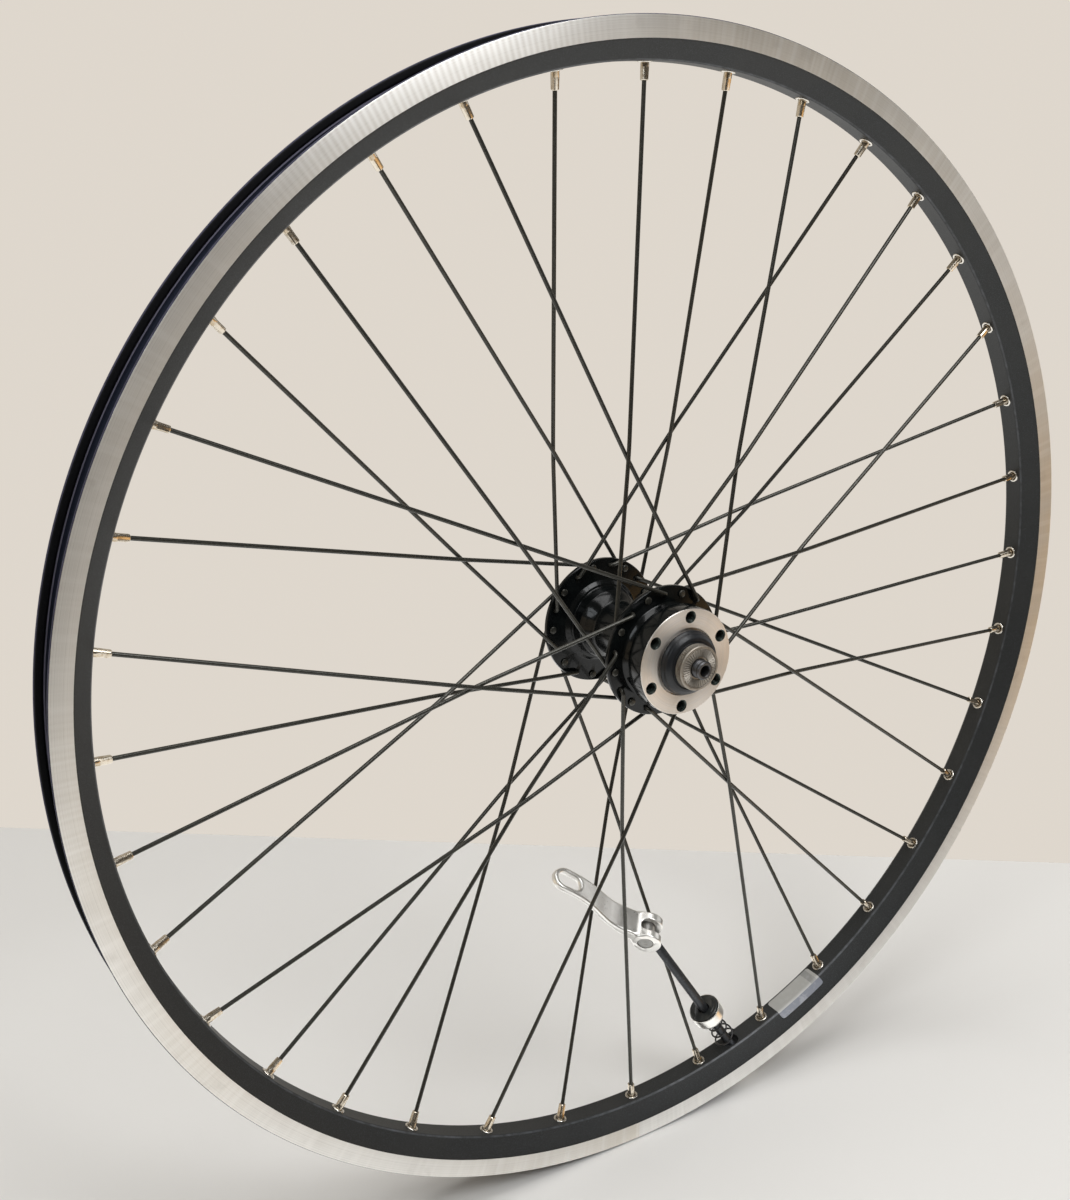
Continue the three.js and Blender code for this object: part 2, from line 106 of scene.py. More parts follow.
BARREL_HALF_LENGTH = 7.6
BARREL_TURN = -46.5
LEVER_SWING = -24
LEVER_LENGTH = 63.8
LEVER_HALF_WIDTH = 6.5
CAM_R = 7.6
CAM_OFFSET = -0.9
FORK_GAP = 6.4
CUP_R = 9
CUP_BACK = 30.3
CUP_FRONT = 39.4
LINER_R = 8.3
LINER_FRONT = 40.4
NUT_R = 8
NUT_FACE = -10
NUT_END = -20
CHATTER_COUNT = 590
# Angles of the track sector where the chatter is deepest and its stripes carry a painted highlight.
CHATTER_HIGHLIGHT_ZONE = (-44, -32, -14, -4)
NIPPLE_HOLE_R = 2.6
ACCESS_HOLE_R = 3.9
VALVE_HOLE_R = 4.5
FLANGE_R = 32.5
FLANGE_HOLE_R = 1.3
BOLT_PITCH = 0.8

# Edges between sides that meet at more than this many degrees stay sharp.
SHARP = 32
# A rounded corner takes at most this share of either side, and its points are this many radians apart.
LONGEST_FILLET = 0.49
FILLET_STEP = 0.3


def on_wheel(radius, angle, y):
    a = math.radians(angle)
    return Vector((radius * math.sin(a), y, radius * math.cos(a)))


def put(name, data):
    """A new object in the scene."""
    obj = bpy.data.objects.new(name, data)
    bpy.context.scene.collection.objects.link(obj)
    return obj


def evaluated(obj):
    """The mesh that an object's modifiers make."""
    bpy.context.view_layer.update()
    return bpy.data.meshes.new_from_object(obj.evaluated_get(bpy.context.evaluated_depsgraph_get()))


def map_range(node, low, high, out_low, out_high):
    for key, number in (("From Min", low), ("From Max", high), ("To Min", out_low), ("To Max", out_high)):
        node.inputs[key].default_value = number
    return node


# ---- mesh helpers


def tidy(mesh, sharp_angle=SHARP):
    """Joins doubled points, drops empty faces, makes faces point out and sets the shading."""
    bm = bmesh.new()
    bm.from_mesh(mesh)
    bmesh.ops.remove_doubles(bm, verts=bm.verts, dist=1e-4)
    bmesh.ops.dissolve_degenerate(bm, edges=bm.edges, dist=1e-5)
    bmesh.ops.recalc_face_normals(bm, faces=bm.faces)
    bm.to_mesh(mesh)
    bm.free()
    mesh.shade_smooth()
    mesh.set_sharp_from_angle(angle=math.radians(sharp_angle))
    return mesh


def make_mesh(points, faces, slots=None, sharp_angle=SHARP):
    mesh = bpy.data.meshes.new("mesh")
    mesh.from_pydata([tuple(p) for p in points], [], faces)
    if slots is not None:
        mesh.polygons.foreach_set("material_index", slots)
    return tidy(mesh, sharp_angle)


def bridge(start, end, count):
    """Faces between two closed rings of count points, given where each ring starts."""
    return [(start + k, start + (k + 1) % count, end + (k + 1) % count, end + k) for k in range(count)]


def join(*meshes, sharp_angle=SHARP):
    """One mesh from several, with their material slots kept by number."""
    bm = bmesh.new()
    for mesh in meshes:
        bm.from_mesh(mesh)
    whole = bpy.data.meshes.new("mesh")
    bm.to_mesh(whole)
    bm.free()
    whole.shade_smooth()
    whole.set_sharp_from_angle(angle=math.radians(sharp_angle))
    return whole


def place(mesh, matrix):
    moved = mesh.copy()
    moved.transform(matrix)
    return moved


def filled(corner):
    """A corner with its fillet and its slot, which are 0 where they aren't given."""
    return tuple(corner) + (0, 0)[len(corner) - 2:]


def outline(corners, closed=True):
    """Points of a section from (radius, height, fillet, slot) corners. A slot holds for the side after it."""
    corners = [filled(c) for c in corners]
    count = len(corners)
    points, slots = [], []
    for i, (r, y, fillet, slot) in enumerate(corners):
        here = Vector((r, y))
        if fillet <= 0 or (not closed and i in (0, count - 1)):
            points.append(here)
            slots.append(slot)
            continue
        back = Vector(corners[i - 1][:2]) - here
        ahead = Vector(corners[(i + 1) % count][:2]) - here
        half = back.angle(ahead) / 2
        longest = LONGEST_FILLET * min(back.length, ahead.length)
        reach = min(fillet / math.tan(half), longest)
        radius = reach * math.tan(half)
        centre = here + (back.normalized() + ahead.normalized()).normalized() * (radius / math.sin(half))
        start, end = here + back.normalized() * reach - centre, here + ahead.normalized() * reach - centre
        turn = start.angle_signed(end)
        steps = max(2, round(abs(turn) / FILLET_STEP))
        for k in range(steps + 1):
            a = -turn * k / steps
            c, s = math.cos(a), math.sin(a)
            points.append(centre + Vector((start.x * c - start.y * s, start.x * s + start.y * c)))
            slots.append(slot)
    return points, slots


def lathe(corners, steps, shape=None, closed=True, sharp_angle=SHARP):
    """A ring or spindle turned about Y. shape(r, y, a) may move each point, for flutes, teeth and threads."""
    section, section_slots = outline(corners, closed)
    rows = len(section)
    sides = rows if closed else rows - 1
    points, faces, slots = [], [], []
    for k in range(steps):
        a = TAU * k / steps
        for p in section:
            r, y = shape(p.x, p.y, a) if shape else (p.x, p.y)
            points.append((r * math.sin(a), y, r * math.cos(a)))
    for k in range(steps):
        for i in range(sides):
            j = (i + 1) % rows
            here, ahead = k * rows, (k + 1) % steps * rows
            faces.append((here + i, here + j, ahead + j, ahead + i))
            slots.append(section_slots[i])
    return make_mesh(points, faces, slots, sharp_angle)


def mirrored(corners):
    """The section with its mirror image across the wheel's middle plane. Sides keep their slots."""
    full = [filled(c) for c in corners]
    after = [full[max(i - 1, 0)][3] for i in range(len(full))]
    return full + [(r, -y, fillet, slot) for (r, y, fillet, _), slot in zip(full, after)][::-1]


def bent(points, reach=9, steps=6):
    """A polyline with each inner corner replaced by a short curve."""
    out = [points[0]]
    for before, here, after in zip(points, points[1:], points[2:]):
        back, ahead = before - here, after - here
        r = min(reach, back.length * 0.45, ahead.length * 0.45)
        a, b = here + back.normalized() * r, here + ahead.normalized() * r
        for k in range(steps + 1):
            t = k / steps
            out.append(a.lerp(here, t).lerp(here.lerp(b, t), t))
    out.append(points[-1])
    return out


def sweep(path, radius, sides, sharp_angle=50):
    """A round wire along a path, closed at both ends."""
    path = [Vector(p) for p in path]
    count = len(path)
    tangents = [(path[min(i + 1, count - 1)] - path[max(i - 1, 0)]).normalized() for i in range(count)]
    normal = tangents[0].orthogonal().normalized()
    points, faces = [], []
    for i in range(count):
        if i:
            normal = (tangents[i - 1].rotation_difference(tangents[i]) @ normal).normalized()
        other = tangents[i].cross(normal)
        for k in range(sides):
            a = TAU * k / sides
            points.append(path[i] + (normal * math.cos(a) + other * math.sin(a)) * radius)
    for start in range(0, (count - 1) * sides, sides):
        faces += bridge(start, start + sides, sides)
    faces.append(tuple(reversed(range(sides))))
    faces.append(tuple(range((count - 1) * sides, count * sides)))
    return make_mesh(points, faces, None, sharp_angle)


def bar(start, end, radius, sides):
    return sweep([start, end], radius, sides)


def between(start, direction):
    """Turns +Y to a direction and moves the origin to start."""
    turn = Vector((0, 1, 0)).rotation_difference(direction)
    return Matrix.Translation(start) @ turn.to_matrix().to_4x4()


# Stand-in materials, so that a cut keeps the slot number of every face.
SLOT_HOLDERS = [bpy.data.materials.new(f"slot_{k}") for k in range(3)]


def cut(mesh, tools, sharp_angle=SHARP, operation="DIFFERENCE"):
    """The mesh with the tools cut out of it, or joined to it."""
    body, tool = put("body", mesh), put("tool", join(*tools))
    for o in (body, tool):
        while len(o.data.materials) < len(SLOT_HOLDERS):
            o.data.materials.append(SLOT_HOLDERS[len(o.data.materials)])
    modifier = body.modifiers.new("cut", "BOOLEAN")
    modifier.operation = operation
    modifier.solver = "EXACT"
    modifier.object = tool
    result = evaluated(body)
    for o in (body, tool):
        bpy.data.objects.remove(o)
    return tidy(result, sharp_angle)


def add(name, mesh, body, finishes, matrix=None, replaces=()):
    """A finished piece: in metres, with a finish for each of its slots, riding on a CAD body."""
    mesh.name = name
    if not mesh.get("in_metres"):
        mesh.transform(Matrix.Scale(MM, 4))
        mesh["in_metres"] = True
        slots = [polygon.material_index for polygon in mesh.polygons]
        mesh.materials.clear()
        for finish in finishes.split():
            mesh.materials.append(FINISHES[finish].material)
        mesh.polygons.foreach_set("material_index", [min(s, len(mesh.materials) - 1) for s in slots])
    obj = put(name, mesh)
    if matrix is not None:
        metres = matrix.copy()
        metres.translation = metres.translation * MM
        obj.matrix_world = metres
    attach(obj, body)
    if replaces:
        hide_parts(*replaces)


# ---- materials


class Finish:
    """A principled material whose detail comes from noise in the piece's own space, in metres."""

    def __init__(self, name, color, roughness, metallic, **fixed):
        self.material = bpy.data.materials.new(name)
        self.material.use_nodes = True
        self.tree = self.material.node_tree
        self.shader = self.tree.nodes["Principled BSDF"]
        self.color = (*color, 1)
        self.roughness = roughness
        values = {"Base_Color": self.color, "Roughness": roughness, "Metallic": metallic, **fixed}
        for key, value in values.items():
            self.shader.inputs[key.replace("_", " ")].default_value = value
        self.place = self.node("ShaderNodeTexCoord").outputs["Object"]
        self.normal = None

    def node(self, kind, **values):
        made = self.tree.nodes.new(kind)
        for key, value in values.items():
            setattr(made, key, value)
        return made

    def wire(self, source, target):
        self.tree.links.new(source, target)

    def math(self, operation, a, b=0):
        made = self.node("ShaderNodeMath", operation=operation)
        for socket, value in zip(made.inputs, (a, b)):
            if isinstance(value, (int, float)):
                socket.default_value = value
            else:
                self.wire(value, socket)
        return made.outputs[0]

    def noise(self, scale, detail, stretch=None):
        """Noise from 0 to 1 with about scale lumps to the metre."""
        made = self.node("ShaderNodeTexNoise")
        made.inputs["Scale"].default_value = scale
        made.inputs["Detail"].default_value = detail
        place = self.place
        if stretch:
            mapping = self.node("ShaderNodeMapping")
            mapping.inputs["Scale"].default_value = stretch
            self.wire(place, mapping.inputs["Vector"])
            place = mapping.outputs[0]
        self.wire(place, made.inputs["Vector"])
        return made.outputs["Fac"]

    def lines(self, along, scale, detail=2):
        """Irregular parallel lines, about scale to the unit of the given value."""
        made = self.node("ShaderNodeTexNoise", noise_dimensions="1D")
        made.inputs["Detail"].default_value = detail
        made.inputs["Scale"].default_value = scale
        self.wire(along, made.inputs["W"])
        return made.outputs["Fac"]

    def axes(self):
        parts = self.node("ShaderNodeSeparateXYZ")
        self.wire(self.place, parts.inputs[0])
        return parts.outputs

    def polar(self):
        """Radius in metres and angle round the piece's Y axis."""
        x, _, z = self.axes()
        squares = self.math("ADD", self.math("MULTIPLY", x, x), self.math("MULTIPLY", z, z))
        return self.math("SQRT", squares), self.math("ARCTAN2", x, z)

    def ramp(self, value, low, high, out_low=0, out_high=1):
        made = map_range(self.node("ShaderNodeMapRange"), low, high, out_low, out_high)
        self.wire(value, made.inputs["Value"])
        return made.outputs["Result"]

    def band(self, value, rise, top, fall, end):
        """1 from top to fall, and 0 below rise and above end."""
        return self.math("MULTIPLY", self.ramp(value, rise, top), self.ramp(value, end, fall))

    def tint(self, mask, color):
        """Mixes a second colour over the base where the mask is 1."""
        made = self.node("ShaderNodeMix", data_type="RGBA")
        factor, first, second = made.inputs[0], made.inputs[6], made.inputs[7]
        target = self.shader.inputs["Base Color"]
        if target.is_linked:
            self.wire(target.links[0].from_socket, first)
        else:
            first.default_value = self.color
        second.default_value = (*color, 1)
        self.wire(mask, factor)
        self.wire(made.outputs[2], target)
        return self

    def rough(self, mask, change):
        """Adds change to the roughness where the mask is 1."""
        target = self.shader.inputs["Roughness"]
        before = target.links[0].from_socket if target.is_linked else self.roughness
        self.wire(self.math("ADD", self.math("MULTIPLY", mask, change), before), target)
        return self

    def bump(self, height, depth_mm):
        made = self.node("ShaderNodeBump")
        made.inputs["Distance"].default_value = depth_mm * MM
        self.wire(height, made.inputs["Height"])
        if self.normal is not None:
            self.wire(self.normal, made.inputs["Normal"])
        self.normal = made.outputs["Normal"]
        self.wire(self.normal, self.shader.inputs["Normal"])
        return self

    def radial_grain(self):
        tangent = self.node("ShaderNodeTangent", direction_type="RADIAL", axis="Y")
        self.wire(tangent.outputs[0], self.shader.inputs["Tangent"])
        return self

    def patches(self, scale, detail, low, high, amount, color):
        """Mixes in up to amount of a second colour as the noise goes from low to high."""
        return self.tint(self.ramp(self.noise(scale, detail), low, high, 0, amount), color)

    def uneven(self, scale, detail, change, stretch=None):
        """Roughness that noise raises by up to change."""
        return self.rough(self.noise(scale, detail, stretch), change)

    def dents(self, scale, detail, depth_mm, stretch=None):
        return self.bump(self.noise(scale, detail, stretch), depth_mm)


def plain(name, color, roughness, metallic, patches, uneven, dents, **fixed):
    """A finish made only of patches of other colours, uneven roughness and fine dents."""
    f = Finish(name, color, roughness, metallic, **fixed)
    for patch in patches:
        f.patches(*patch)
    return f.uneven(*uneven).dents(*dents)


def anodised_rim():
    """Black anodising with a fine satin grain, with a painted highlight along the corner between bed and
    wall.
    """
    f = Finish("rim_black_anodised", (0.022, 0.023, 0.0228), 0.4, 0.3, Specular_IOR_Level=0.42)
    radius, _ = f.polar()
    f.patches(2600, 2, 0.5, 0.72, 0.8, (0.052, 0.055, 0.06))
    f.patches(38, 4, 0.45, 0.8, 0.5, (0.036, 0.036, 0.034))
    # Painted highlight: a lighter band along the rounded corner between bed and wall, broken up by noise.
    corner = f.band(radius, BED_R * MM, (BED_R + 0.25) * MM, 0.268, 0.2683)
    highlight_breakup = f.ramp(f.noise(240, 3), 0.35, 0.7, 0.15, 0.8)
    f.tint(f.math("MULTIPLY", corner, highlight_breakup), (0.1, 0.105, 0.115))
    f.uneven(1500, 3, 0.12).uneven(30, 4, 0.08).rough(corner, -0.1)
    return f.dents(4200, 2, 0.014).bump(f.lines(radius, 900), 0.006)


def tyre_channel():
    """The inside of the rim. The bead hook and the lip above it are painted far darker than the rim's own
    black, as painted shade. The channel below the hook is painted bluish black, as painted light, and the
    lower edge of the hook has a painted highlight.
    """
    f = Finish("rim_channel_painted_light_and_shade", (0.0035, 0.0035, 0.0045), 0.6, 0, Specular_IOR_Level=0.12)
    radius, _ = f.polar()
    # Painted light: the channel below the hook is bluish, as if lit. The hook and lip keep the near-black
    # base, which is painted shade.
    f.tint(f.ramp(radius, 0.2815, 0.2812), (0.016, 0.02, 0.036))
    f.patches(800, 3, 0.5, 0.8, 0.6, (0.009, 0.009, 0.011))
    # Painted highlight: a bright band on the lower edge of the bead hook, where the roughness is also
    # lowered.
    hook_edge_highlight = f.band(radius, 0.2814, 0.2816, 0.282, 0.2822)
    f.tint(hook_edge_highlight, (0.26, 0.25, 0.33))
    # Painted highlight: a bluish light line along the outer edge of the lip, broken up by noise.
    crown_highlight = f.ramp(radius, 0.28565, 0.28585)
    f.tint(f.math("MULTIPLY", crown_highlight, f.ramp(f.noise(300, 3), 0.3, 0.7, 0.5, 1)), (0.075, 0.075, 0.12))
    return f.uneven(900, 3, 0.15).rough(hook_edge_highlight, -0.3).dents(2600, 3, 0.015)


TURNED = {"Anisotropic": 0.8, "Anisotropic_Rotation": 0.25}


def machined_track():
    """A turned brake track: fine circular grain, with the cutter's chatter as regular stripes across it. The
    chatter marks are real, but their near-white colour, strongest in a fixed sector, is a painted highlight.
    """
    f = Finish("rim_machined_track", (0.76, 0.745, 0.715), 0.37, 0.78, **TURNED)
    radius, angle = f.polar()
    turning = f.lines(radius, 2600)
    wave = f.math("SINE", f.math("MULTIPLY", angle, CHATTER_COUNT))
    # The chatter is deepest in a fixed sector. There its stripes are a painted highlight as well as real
    # marks.
    deep = f.band(angle, *[math.radians(a) for a in CHATTER_HIGHLIGHT_ZONE])
    depth = f.math("MAXIMUM", deep, f.ramp(f.lines(angle, 2.2, 3), 0.5, 0.7, 0, 0.3))
    chatter = f.math("MULTIPLY", f.math("ADD", f.math("MULTIPLY", wave, 0.5), 0.5), depth)
    f.tint(f.ramp(turning, 0.4, 0.75, 0, 0.5), (0.52, 0.505, 0.475))
    f.tint(f.ramp(f.lines(angle, 1.1, 2), 0.45, 0.7, 0, 0.6), (0.62, 0.56, 0.47))
    f.tint(f.ramp(f.lines(angle, 60, 3), 0.45, 0.7, 0, 0.45), (0.8, 0.785, 0.755))
    # Painted highlight: near-white stripes where the chatter is deep.
    f.tint(f.math("MULTIPLY", chatter, 0.6), (0.94, 0.94, 0.925))
    f.patches(90, 5, 0.62, 0.78, 0.4, (0.48, 0.45, 0.405))
    f.rough(turning, 0.1).rough(f.ramp(f.noise(60, 4), 0.5, 0.8), 0.1)
    return f.bump(turning, 0.01).bump(chatter, 0.003).radial_grain()


def hub_gloss():
    coat = {"Coat_Weight": 0.24, "Coat_Roughness": 0.06}
    f = Finish("hub_gloss_black", (0.0032, 0.004, 0.0042), 0.16, 0, Specular_IOR_Level=0.16, **coat)
    f.patches(120, 5, 0.5, 0.8, 0.8, (0.009, 0.011, 0.0105))
    return f.rough(f.ramp(f.noise(160, 6), 0.45, 0.75), 0.14).dents(900, 3, 0.012)


def disc_seat():
    f = Finish("hub_machined_seat", (0.76, 0.7, 0.64), 0.38, 0.78, **{**TURNED, "Anisotropic": 0.75})
    radius, _ = f.polar()
    turning = f.lines(radius, 3200)
    f.tint(f.ramp(turning, 0.42, 0.7, 0, 0.6), (0.58, 0.53, 0.47))
    f.tint(f.ramp(f.lines(radius, 700, 1), 0.52, 0.6, 0, 0.5), (0.7, 0.66, 0.62))
    f.patches(140, 4, 0.5, 0.8, 0.5, (0.62, 0.555, 0.48))
    return f.rough(turning, 0.12).bump(turning, 0.01).radial_grain()


def threaded_hole():
    f = Finish("hub_bolt_hole", (0.03, 0.042, 0.036), 0.3, 0.85)
    f.patches(900, 3, 0.4, 0.7, 1, (0.09, 0.1, 0.095)).uneven(1500, 3, 0.2)
    turns = f.math("MULTIPLY", f.axes()["Y"], TAU / (BOLT_PITCH * MM))
    return f.bump(f.math("SINE", turns), 0.12)


def steel(name, color, roughness, warm, wear, turned=False):
    patch = (480, 5, 0.5, 0.78, wear, warm)
    f = plain(name, color, roughness, 1, [patch], (1300, 4, 0.2), (3000, 3, 0.014))
    if turned:
        radius, _ = f.polar()
        f.bump(f.lines(radius, 2600), 0.012)
    return f


def polished_alloy(name, stretch=None):
    f = Finish(name, (0.85, 0.835, 0.8), 0.26, 0.85)
    f.patches(110, 5, 0.5, 0.8, 0.6, (0.64, 0.6, 0.55))
    f.rough(f.ramp(f.noise(260, 5), 0.45, 0.75), 0.12).uneven(3000, 3, 0.04, stretch)
    return f.dents(500, 2, 0.0008, stretch).dents(140, 2, 0.004)


def rim_sticker():
    """A blank film, bluish and darker where it lies on the wall and lighter where it lies on the bed, which
    is painted light and shade, with a darker stripe near one end.
    """
    coat = {"Coat_Weight": 0.25, "Coat_Roughness": 0.2}
    f = Finish("rim_blank_sticker", (0.13, 0.14, 0.175), 0.32, 0, **coat)
    radius, angle = f.polar()
    # Painted light and shade: the same film is coloured bluish dark on the wall and lighter on the bed.
    bed = f.ramp(radius, 0.2682, 0.268)
    f.tint(bed, (0.36, 0.355, 0.335))
    stripe = f.band(angle, *[math.radians(a) for a in (150.9, 151, 151.8, 151.9)])
    f.tint(f.math("MULTIPLY", bed, stripe), (0.25, 0.25, 0.24))
    f.patches(300, 4, 0.5, 0.85, 0.4, (0.5, 0.5, 0.5))
    return f.uneven(600, 4, 0.2).dents(260, 3, 0.03)


# Finishes by the names that add() is given.
FINISHES = {
    "rim": anodised_rim(),
    "track": machined_track(),
    "channel": tyre_channel(),
    "spoke": plain(
        "spoke_black_oxide", (0.042, 0.041, 0.035), 0.27, 0.6,
        [(900, 3, 0.5, 0.75, 0.8, (0.075, 0.073, 0.061)), (60, 3, 0.55, 0.8, 0.6, (0.085, 0.078, 0.062))],
        (1400, 3, 0.14), (5000, 2, 0.008), Specular_IOR_Level=0.55,
    ),
    "nipple": plain(
        "nipple_nickel_plate", (0.62, 0.56, 0.47), 0.17, 1,
        [(520, 4, 0.48, 0.7, 0.85, (0.4, 0.31, 0.2)), (240, 3, 0.6, 0.75, 0.7, (0.26, 0.19, 0.12))],
        (1800, 4, 0.18), (3500, 3, 0.012),
    ),
    "eyelet": plain(
        "eyelet_stainless", (0.68, 0.65, 0.6), 0.18, 1,
        [(1200, 3, 0.5, 0.8, 1, (0.4, 0.34, 0.26))], (2500, 3, 0.18), (2600, 2, 0.01),
    ),
    "hub": hub_gloss(),
    "seat": disc_seat(),
    "hole": threaded_hole(),
    "axle": steel("axle_dark_steel", (0.1, 0.1, 0.105), 0.3, (0.19, 0.165, 0.14), 0.4),
    "locknut": steel("locknut_worn_steel", (0.33, 0.3, 0.26), 0.44, (0.17, 0.135, 0.1), 0.7),
    "bearing": steel("bearing_polished_steel", (0.58, 0.57, 0.55), 0.16, (0.42, 0.36, 0.28), 0.3, True),
    "cage": steel("cage_pressed_steel", (0.42, 0.38, 0.3), 0.3, (0.35, 0.27, 0.15), 0.5),
    "rubber": plain(
        "boot_black_rubber", (0.011, 0.012, 0.014), 0.24, 0,
        [(260, 4, 0.5, 0.8, 0.8, (0.021, 0.022, 0.025))], (700, 4, 0.18), (2600, 3, 0.02),
        Specular_IOR_Level=0.34,
    ),
    "liner": plain(
        "liner_black_plastic", (0.016, 0.018, 0.018), 0.22, 0,
        [(420, 4, 0.5, 0.8, 0.8, (0.036, 0.038, 0.038))], (1100, 3, 0.22), (3200, 3, 0.02),
        Specular_IOR_Level=0.6,
    ),
    "rod": plain(
        "skewer_black_steel", (0.055, 0.058, 0.064), 0.36, 0.75,
        [(700, 4, 0.5, 0.8, 1, (0.1, 0.1, 0.105))], (1200, 4, 0.18), (2400, 3, 0.012, (1, 1, 0.04)),
    ),
    "spring": plain(
        "spring_black_wire", (0.05, 0.05, 0.052), 0.22, 0.85,
        [(1500, 3, 0.5, 0.8, 1, (0.09, 0.085, 0.08))], (2600, 2, 0.2), (5200, 2, 0.008),
    ),
    "lever": polished_alloy("lever_polished_alloy", (1, 1, 0.05)),
    "cup": polished_alloy("cup_polished_alloy"),
    "pin": steel("pin_grey_steel", (0.36, 0.355, 0.34), 0.34, (0.26, 0.24, 0.21), 0.4, True),
    "sticker": rim_sticker(),
}

# ---- rim

TRACK, CHANNEL = 1, 2  # slot 0 is the black anodising

rim_section = mirrored([
    (BED_R, 4.4), (BED_R, 4.8, 0.8), (268.15, 5.75, 0.8), (275.6, 11.55, 0.8), (276.1, 11.75, 0.1),
    (276.2, 12, 0.08, TRACK),
    *[corner + (CHANNEL,) for corner in (
        (285.6, 12, 0.3), (RIM_R, 11.55, 0.25), (RIM_R, 10.5, 0.4), (285.4, 9.75, 0.5), (283, 9.55, 0.5),
        (282.2, 10.4, 0.3), (280.2, 10.5, 0.5), (279.5, 9.4, 0.4), (279.3, 8.4, 0.6), (277.6, 6, 1),
        (WELL_R, 4.6, 0.6),
    )],
])
rim_body = lathe(rim_section, 432, sharp_angle=35)
hollow = lathe(mirrored([(268.8, 4.2, 0.6), (276, 9.2, 1.2)]), 216)


def drill(angle, start, end, radius, sides):
    """A tool for a hole through the rim, from one radius of the wheel to another."""
    return bar(on_wheel(start, angle, 0), on_wheel(end, angle, 0), radius, sides)


holes = []
for i in range(SPOKE_COUNT):
    angle = FIRST_NIPPLE_ANGLE + SPOKE_STEP * i
    holes.append(drill(angle, 266.4, 270.4, NIPPLE_HOLE_R, 24))
    holes.append(drill(angle, 274.6, 279.4, ACCESS_HOLE_R, 28))
holes.append(drill(VALVE_ANGLE, 266.4, 279.4, VALVE_HOLE_R, 40))
rim = cut(cut(rim_body, [hollow]), holes, sharp_angle=35)
add("rim_shell", rim, "wheel", "rim track channel", replaces=("rim",))

# The sticker is a thin sheet on the bed, its corner and the start of the disc-side wall. Each pair is a place
# across the rim and its height over the bed.
sticker_line = [
    (4.3, 0), (0, 0), (-2.9, 0), (-4.55, 0), (-4.95, 0.1), (-5.35, 0.3), (-5.62, 0.62),
    (-5.85, 0.95), (-8, 2.63), (-8.9, 3.33),
]
STICKER_FIRST, STICKER_LAST = 150.55, 157.55
STICKER_CORNER_R = 1.6
STICKER_LIFT = 0.09


def make_sticker(columns=29):
    across, heights = np.array(sticker_line).T
    heights = heights + BED_R
    run = np.concatenate([[0], np.cumsum(np.hypot(np.diff(heights), np.diff(across)))])
    length, corner = run[-1], STICKER_CORNER_R

    def at(s):
        return np.array([np.interp(s, run, across), np.interp(s, run, heights)])

    stations = [0, 0.4, 1, *np.linspace(corner, length - corner, 18), length - 1, length - 0.4, length]
    points, faces = [], []
    middle, half = (STICKER_FIRST + STICKER_LAST) / 2, (STICKER_LAST - STICKER_FIRST) / 2
    for lift in (STICKER_LIFT, 0.01):
        for s in stations:
            into_corner = max(0, corner - min(s, length - s))
            inset = corner - math.sqrt(corner**2 - into_corner**2)
            reach = half - math.degrees(inset / BED_R)
            y, r = at(s)
            dy, dr = at(min(s + 0.3, length)) - at(max(s - 0.3, 0))
            size = math.hypot(dy, dr)
            for c in range(columns):
                a = middle + reach * (2 * c / (columns - 1) - 1)
                points.append(on_wheel(r + dy / size * lift, a, y - dr / size * lift))
    layer = len(stations) * columns
    for row in range(len(stations) - 1):
        for c in range(columns - 1):
            a, b = row * columns + c, (row + 1) * columns + c
            faces.append((a, b, b + 1, a + 1))
            faces.append((layer + a, layer + a + 1, layer + b + 1, layer + b))
    border = [*range(columns), *range(2 * columns - 1, layer, columns)]
    border += [*range(layer - 2, layer - columns - 1, -1), *range(layer - 2 * columns, 0, -columns)]
    for a, b in zip(border, border[1:] + border[:1]):
        faces.append((a, b, layer + b, layer + a))
    return make_mesh(points, faces, None, 40)


add("rim_sticker_blank", make_sticker(), "wheel", "sticker")

# ---- spokes, nipples and eyelets


def spoke_run(side, turn):
    """A spoke whose nipple is at the top: its line, and the nipple's foot and direction, as in the CAD."""
    flange = FAR_FLANGE if side > 0 else NEAR_FLANGE
    outward = side * turn
    hole = on_wheel(FLANGE_HOLE_CIRCLE_R, LACING_ANGLE * turn, flange)
    bed = Vector((0, 0, BED_R))
    along = Vector((bed.x - hole.x, 0, bed.z - hole.z)).normalized()
    axial = Vector((0, outward, 0))
    crossing = hole.lerp(bed, OUTER_CROSSING)
    crossing.y = flange * (1 - OUTER_CROSSING) - outward * CROSSING_GAP / 2
    head = hole - axial * (FLANGE_HALF + CLEARANCE + HEAD_HEIGHT)
    approach = (bed - crossing).normalized()
    foot = bed - approach * NIPPLE_REACH
    elbow = [
        hole + axial * (FLANGE_HALF + ELBOW_R * math.sin(a)) + along * (ELBOW_R * (1 - math.cos(a)))
        for a in np.linspace(0, math.pi / 2, 9)
    ]
    leg = bent([elbow[-1], crossing, foot + approach * 2])
    return head, axial, elbow, leg, foot, approach


def make_spoke(side, turn):
    head, axial, elbow, leg, foot, approach = spoke_run(side, turn)
    wire = sweep([head + axial * 0.3, *elbow, *leg[1:]], SPOKE_R, 14)
    button = lathe([
        (0, 0), (1.15, 0, 0.3), (1.7, 0.22, 0.25), (HEAD_R, 0.55, 0.1), (HEAD_R, 0.72, 0.08),
        (1.3, HEAD_HEIGHT + 0.12, 0.1), (0, HEAD_HEIGHT + 0.12),
    ], 20, closed=False)
    return join(wire, place(button, between(head, axial)), sharp_angle=50)


NIPPLE_FLAT = 1.62
NIPPLE_BORE_R = 1.08
NIPPLE_LENGTH = NIPPLE_REACH + NIPPLE_SEAT


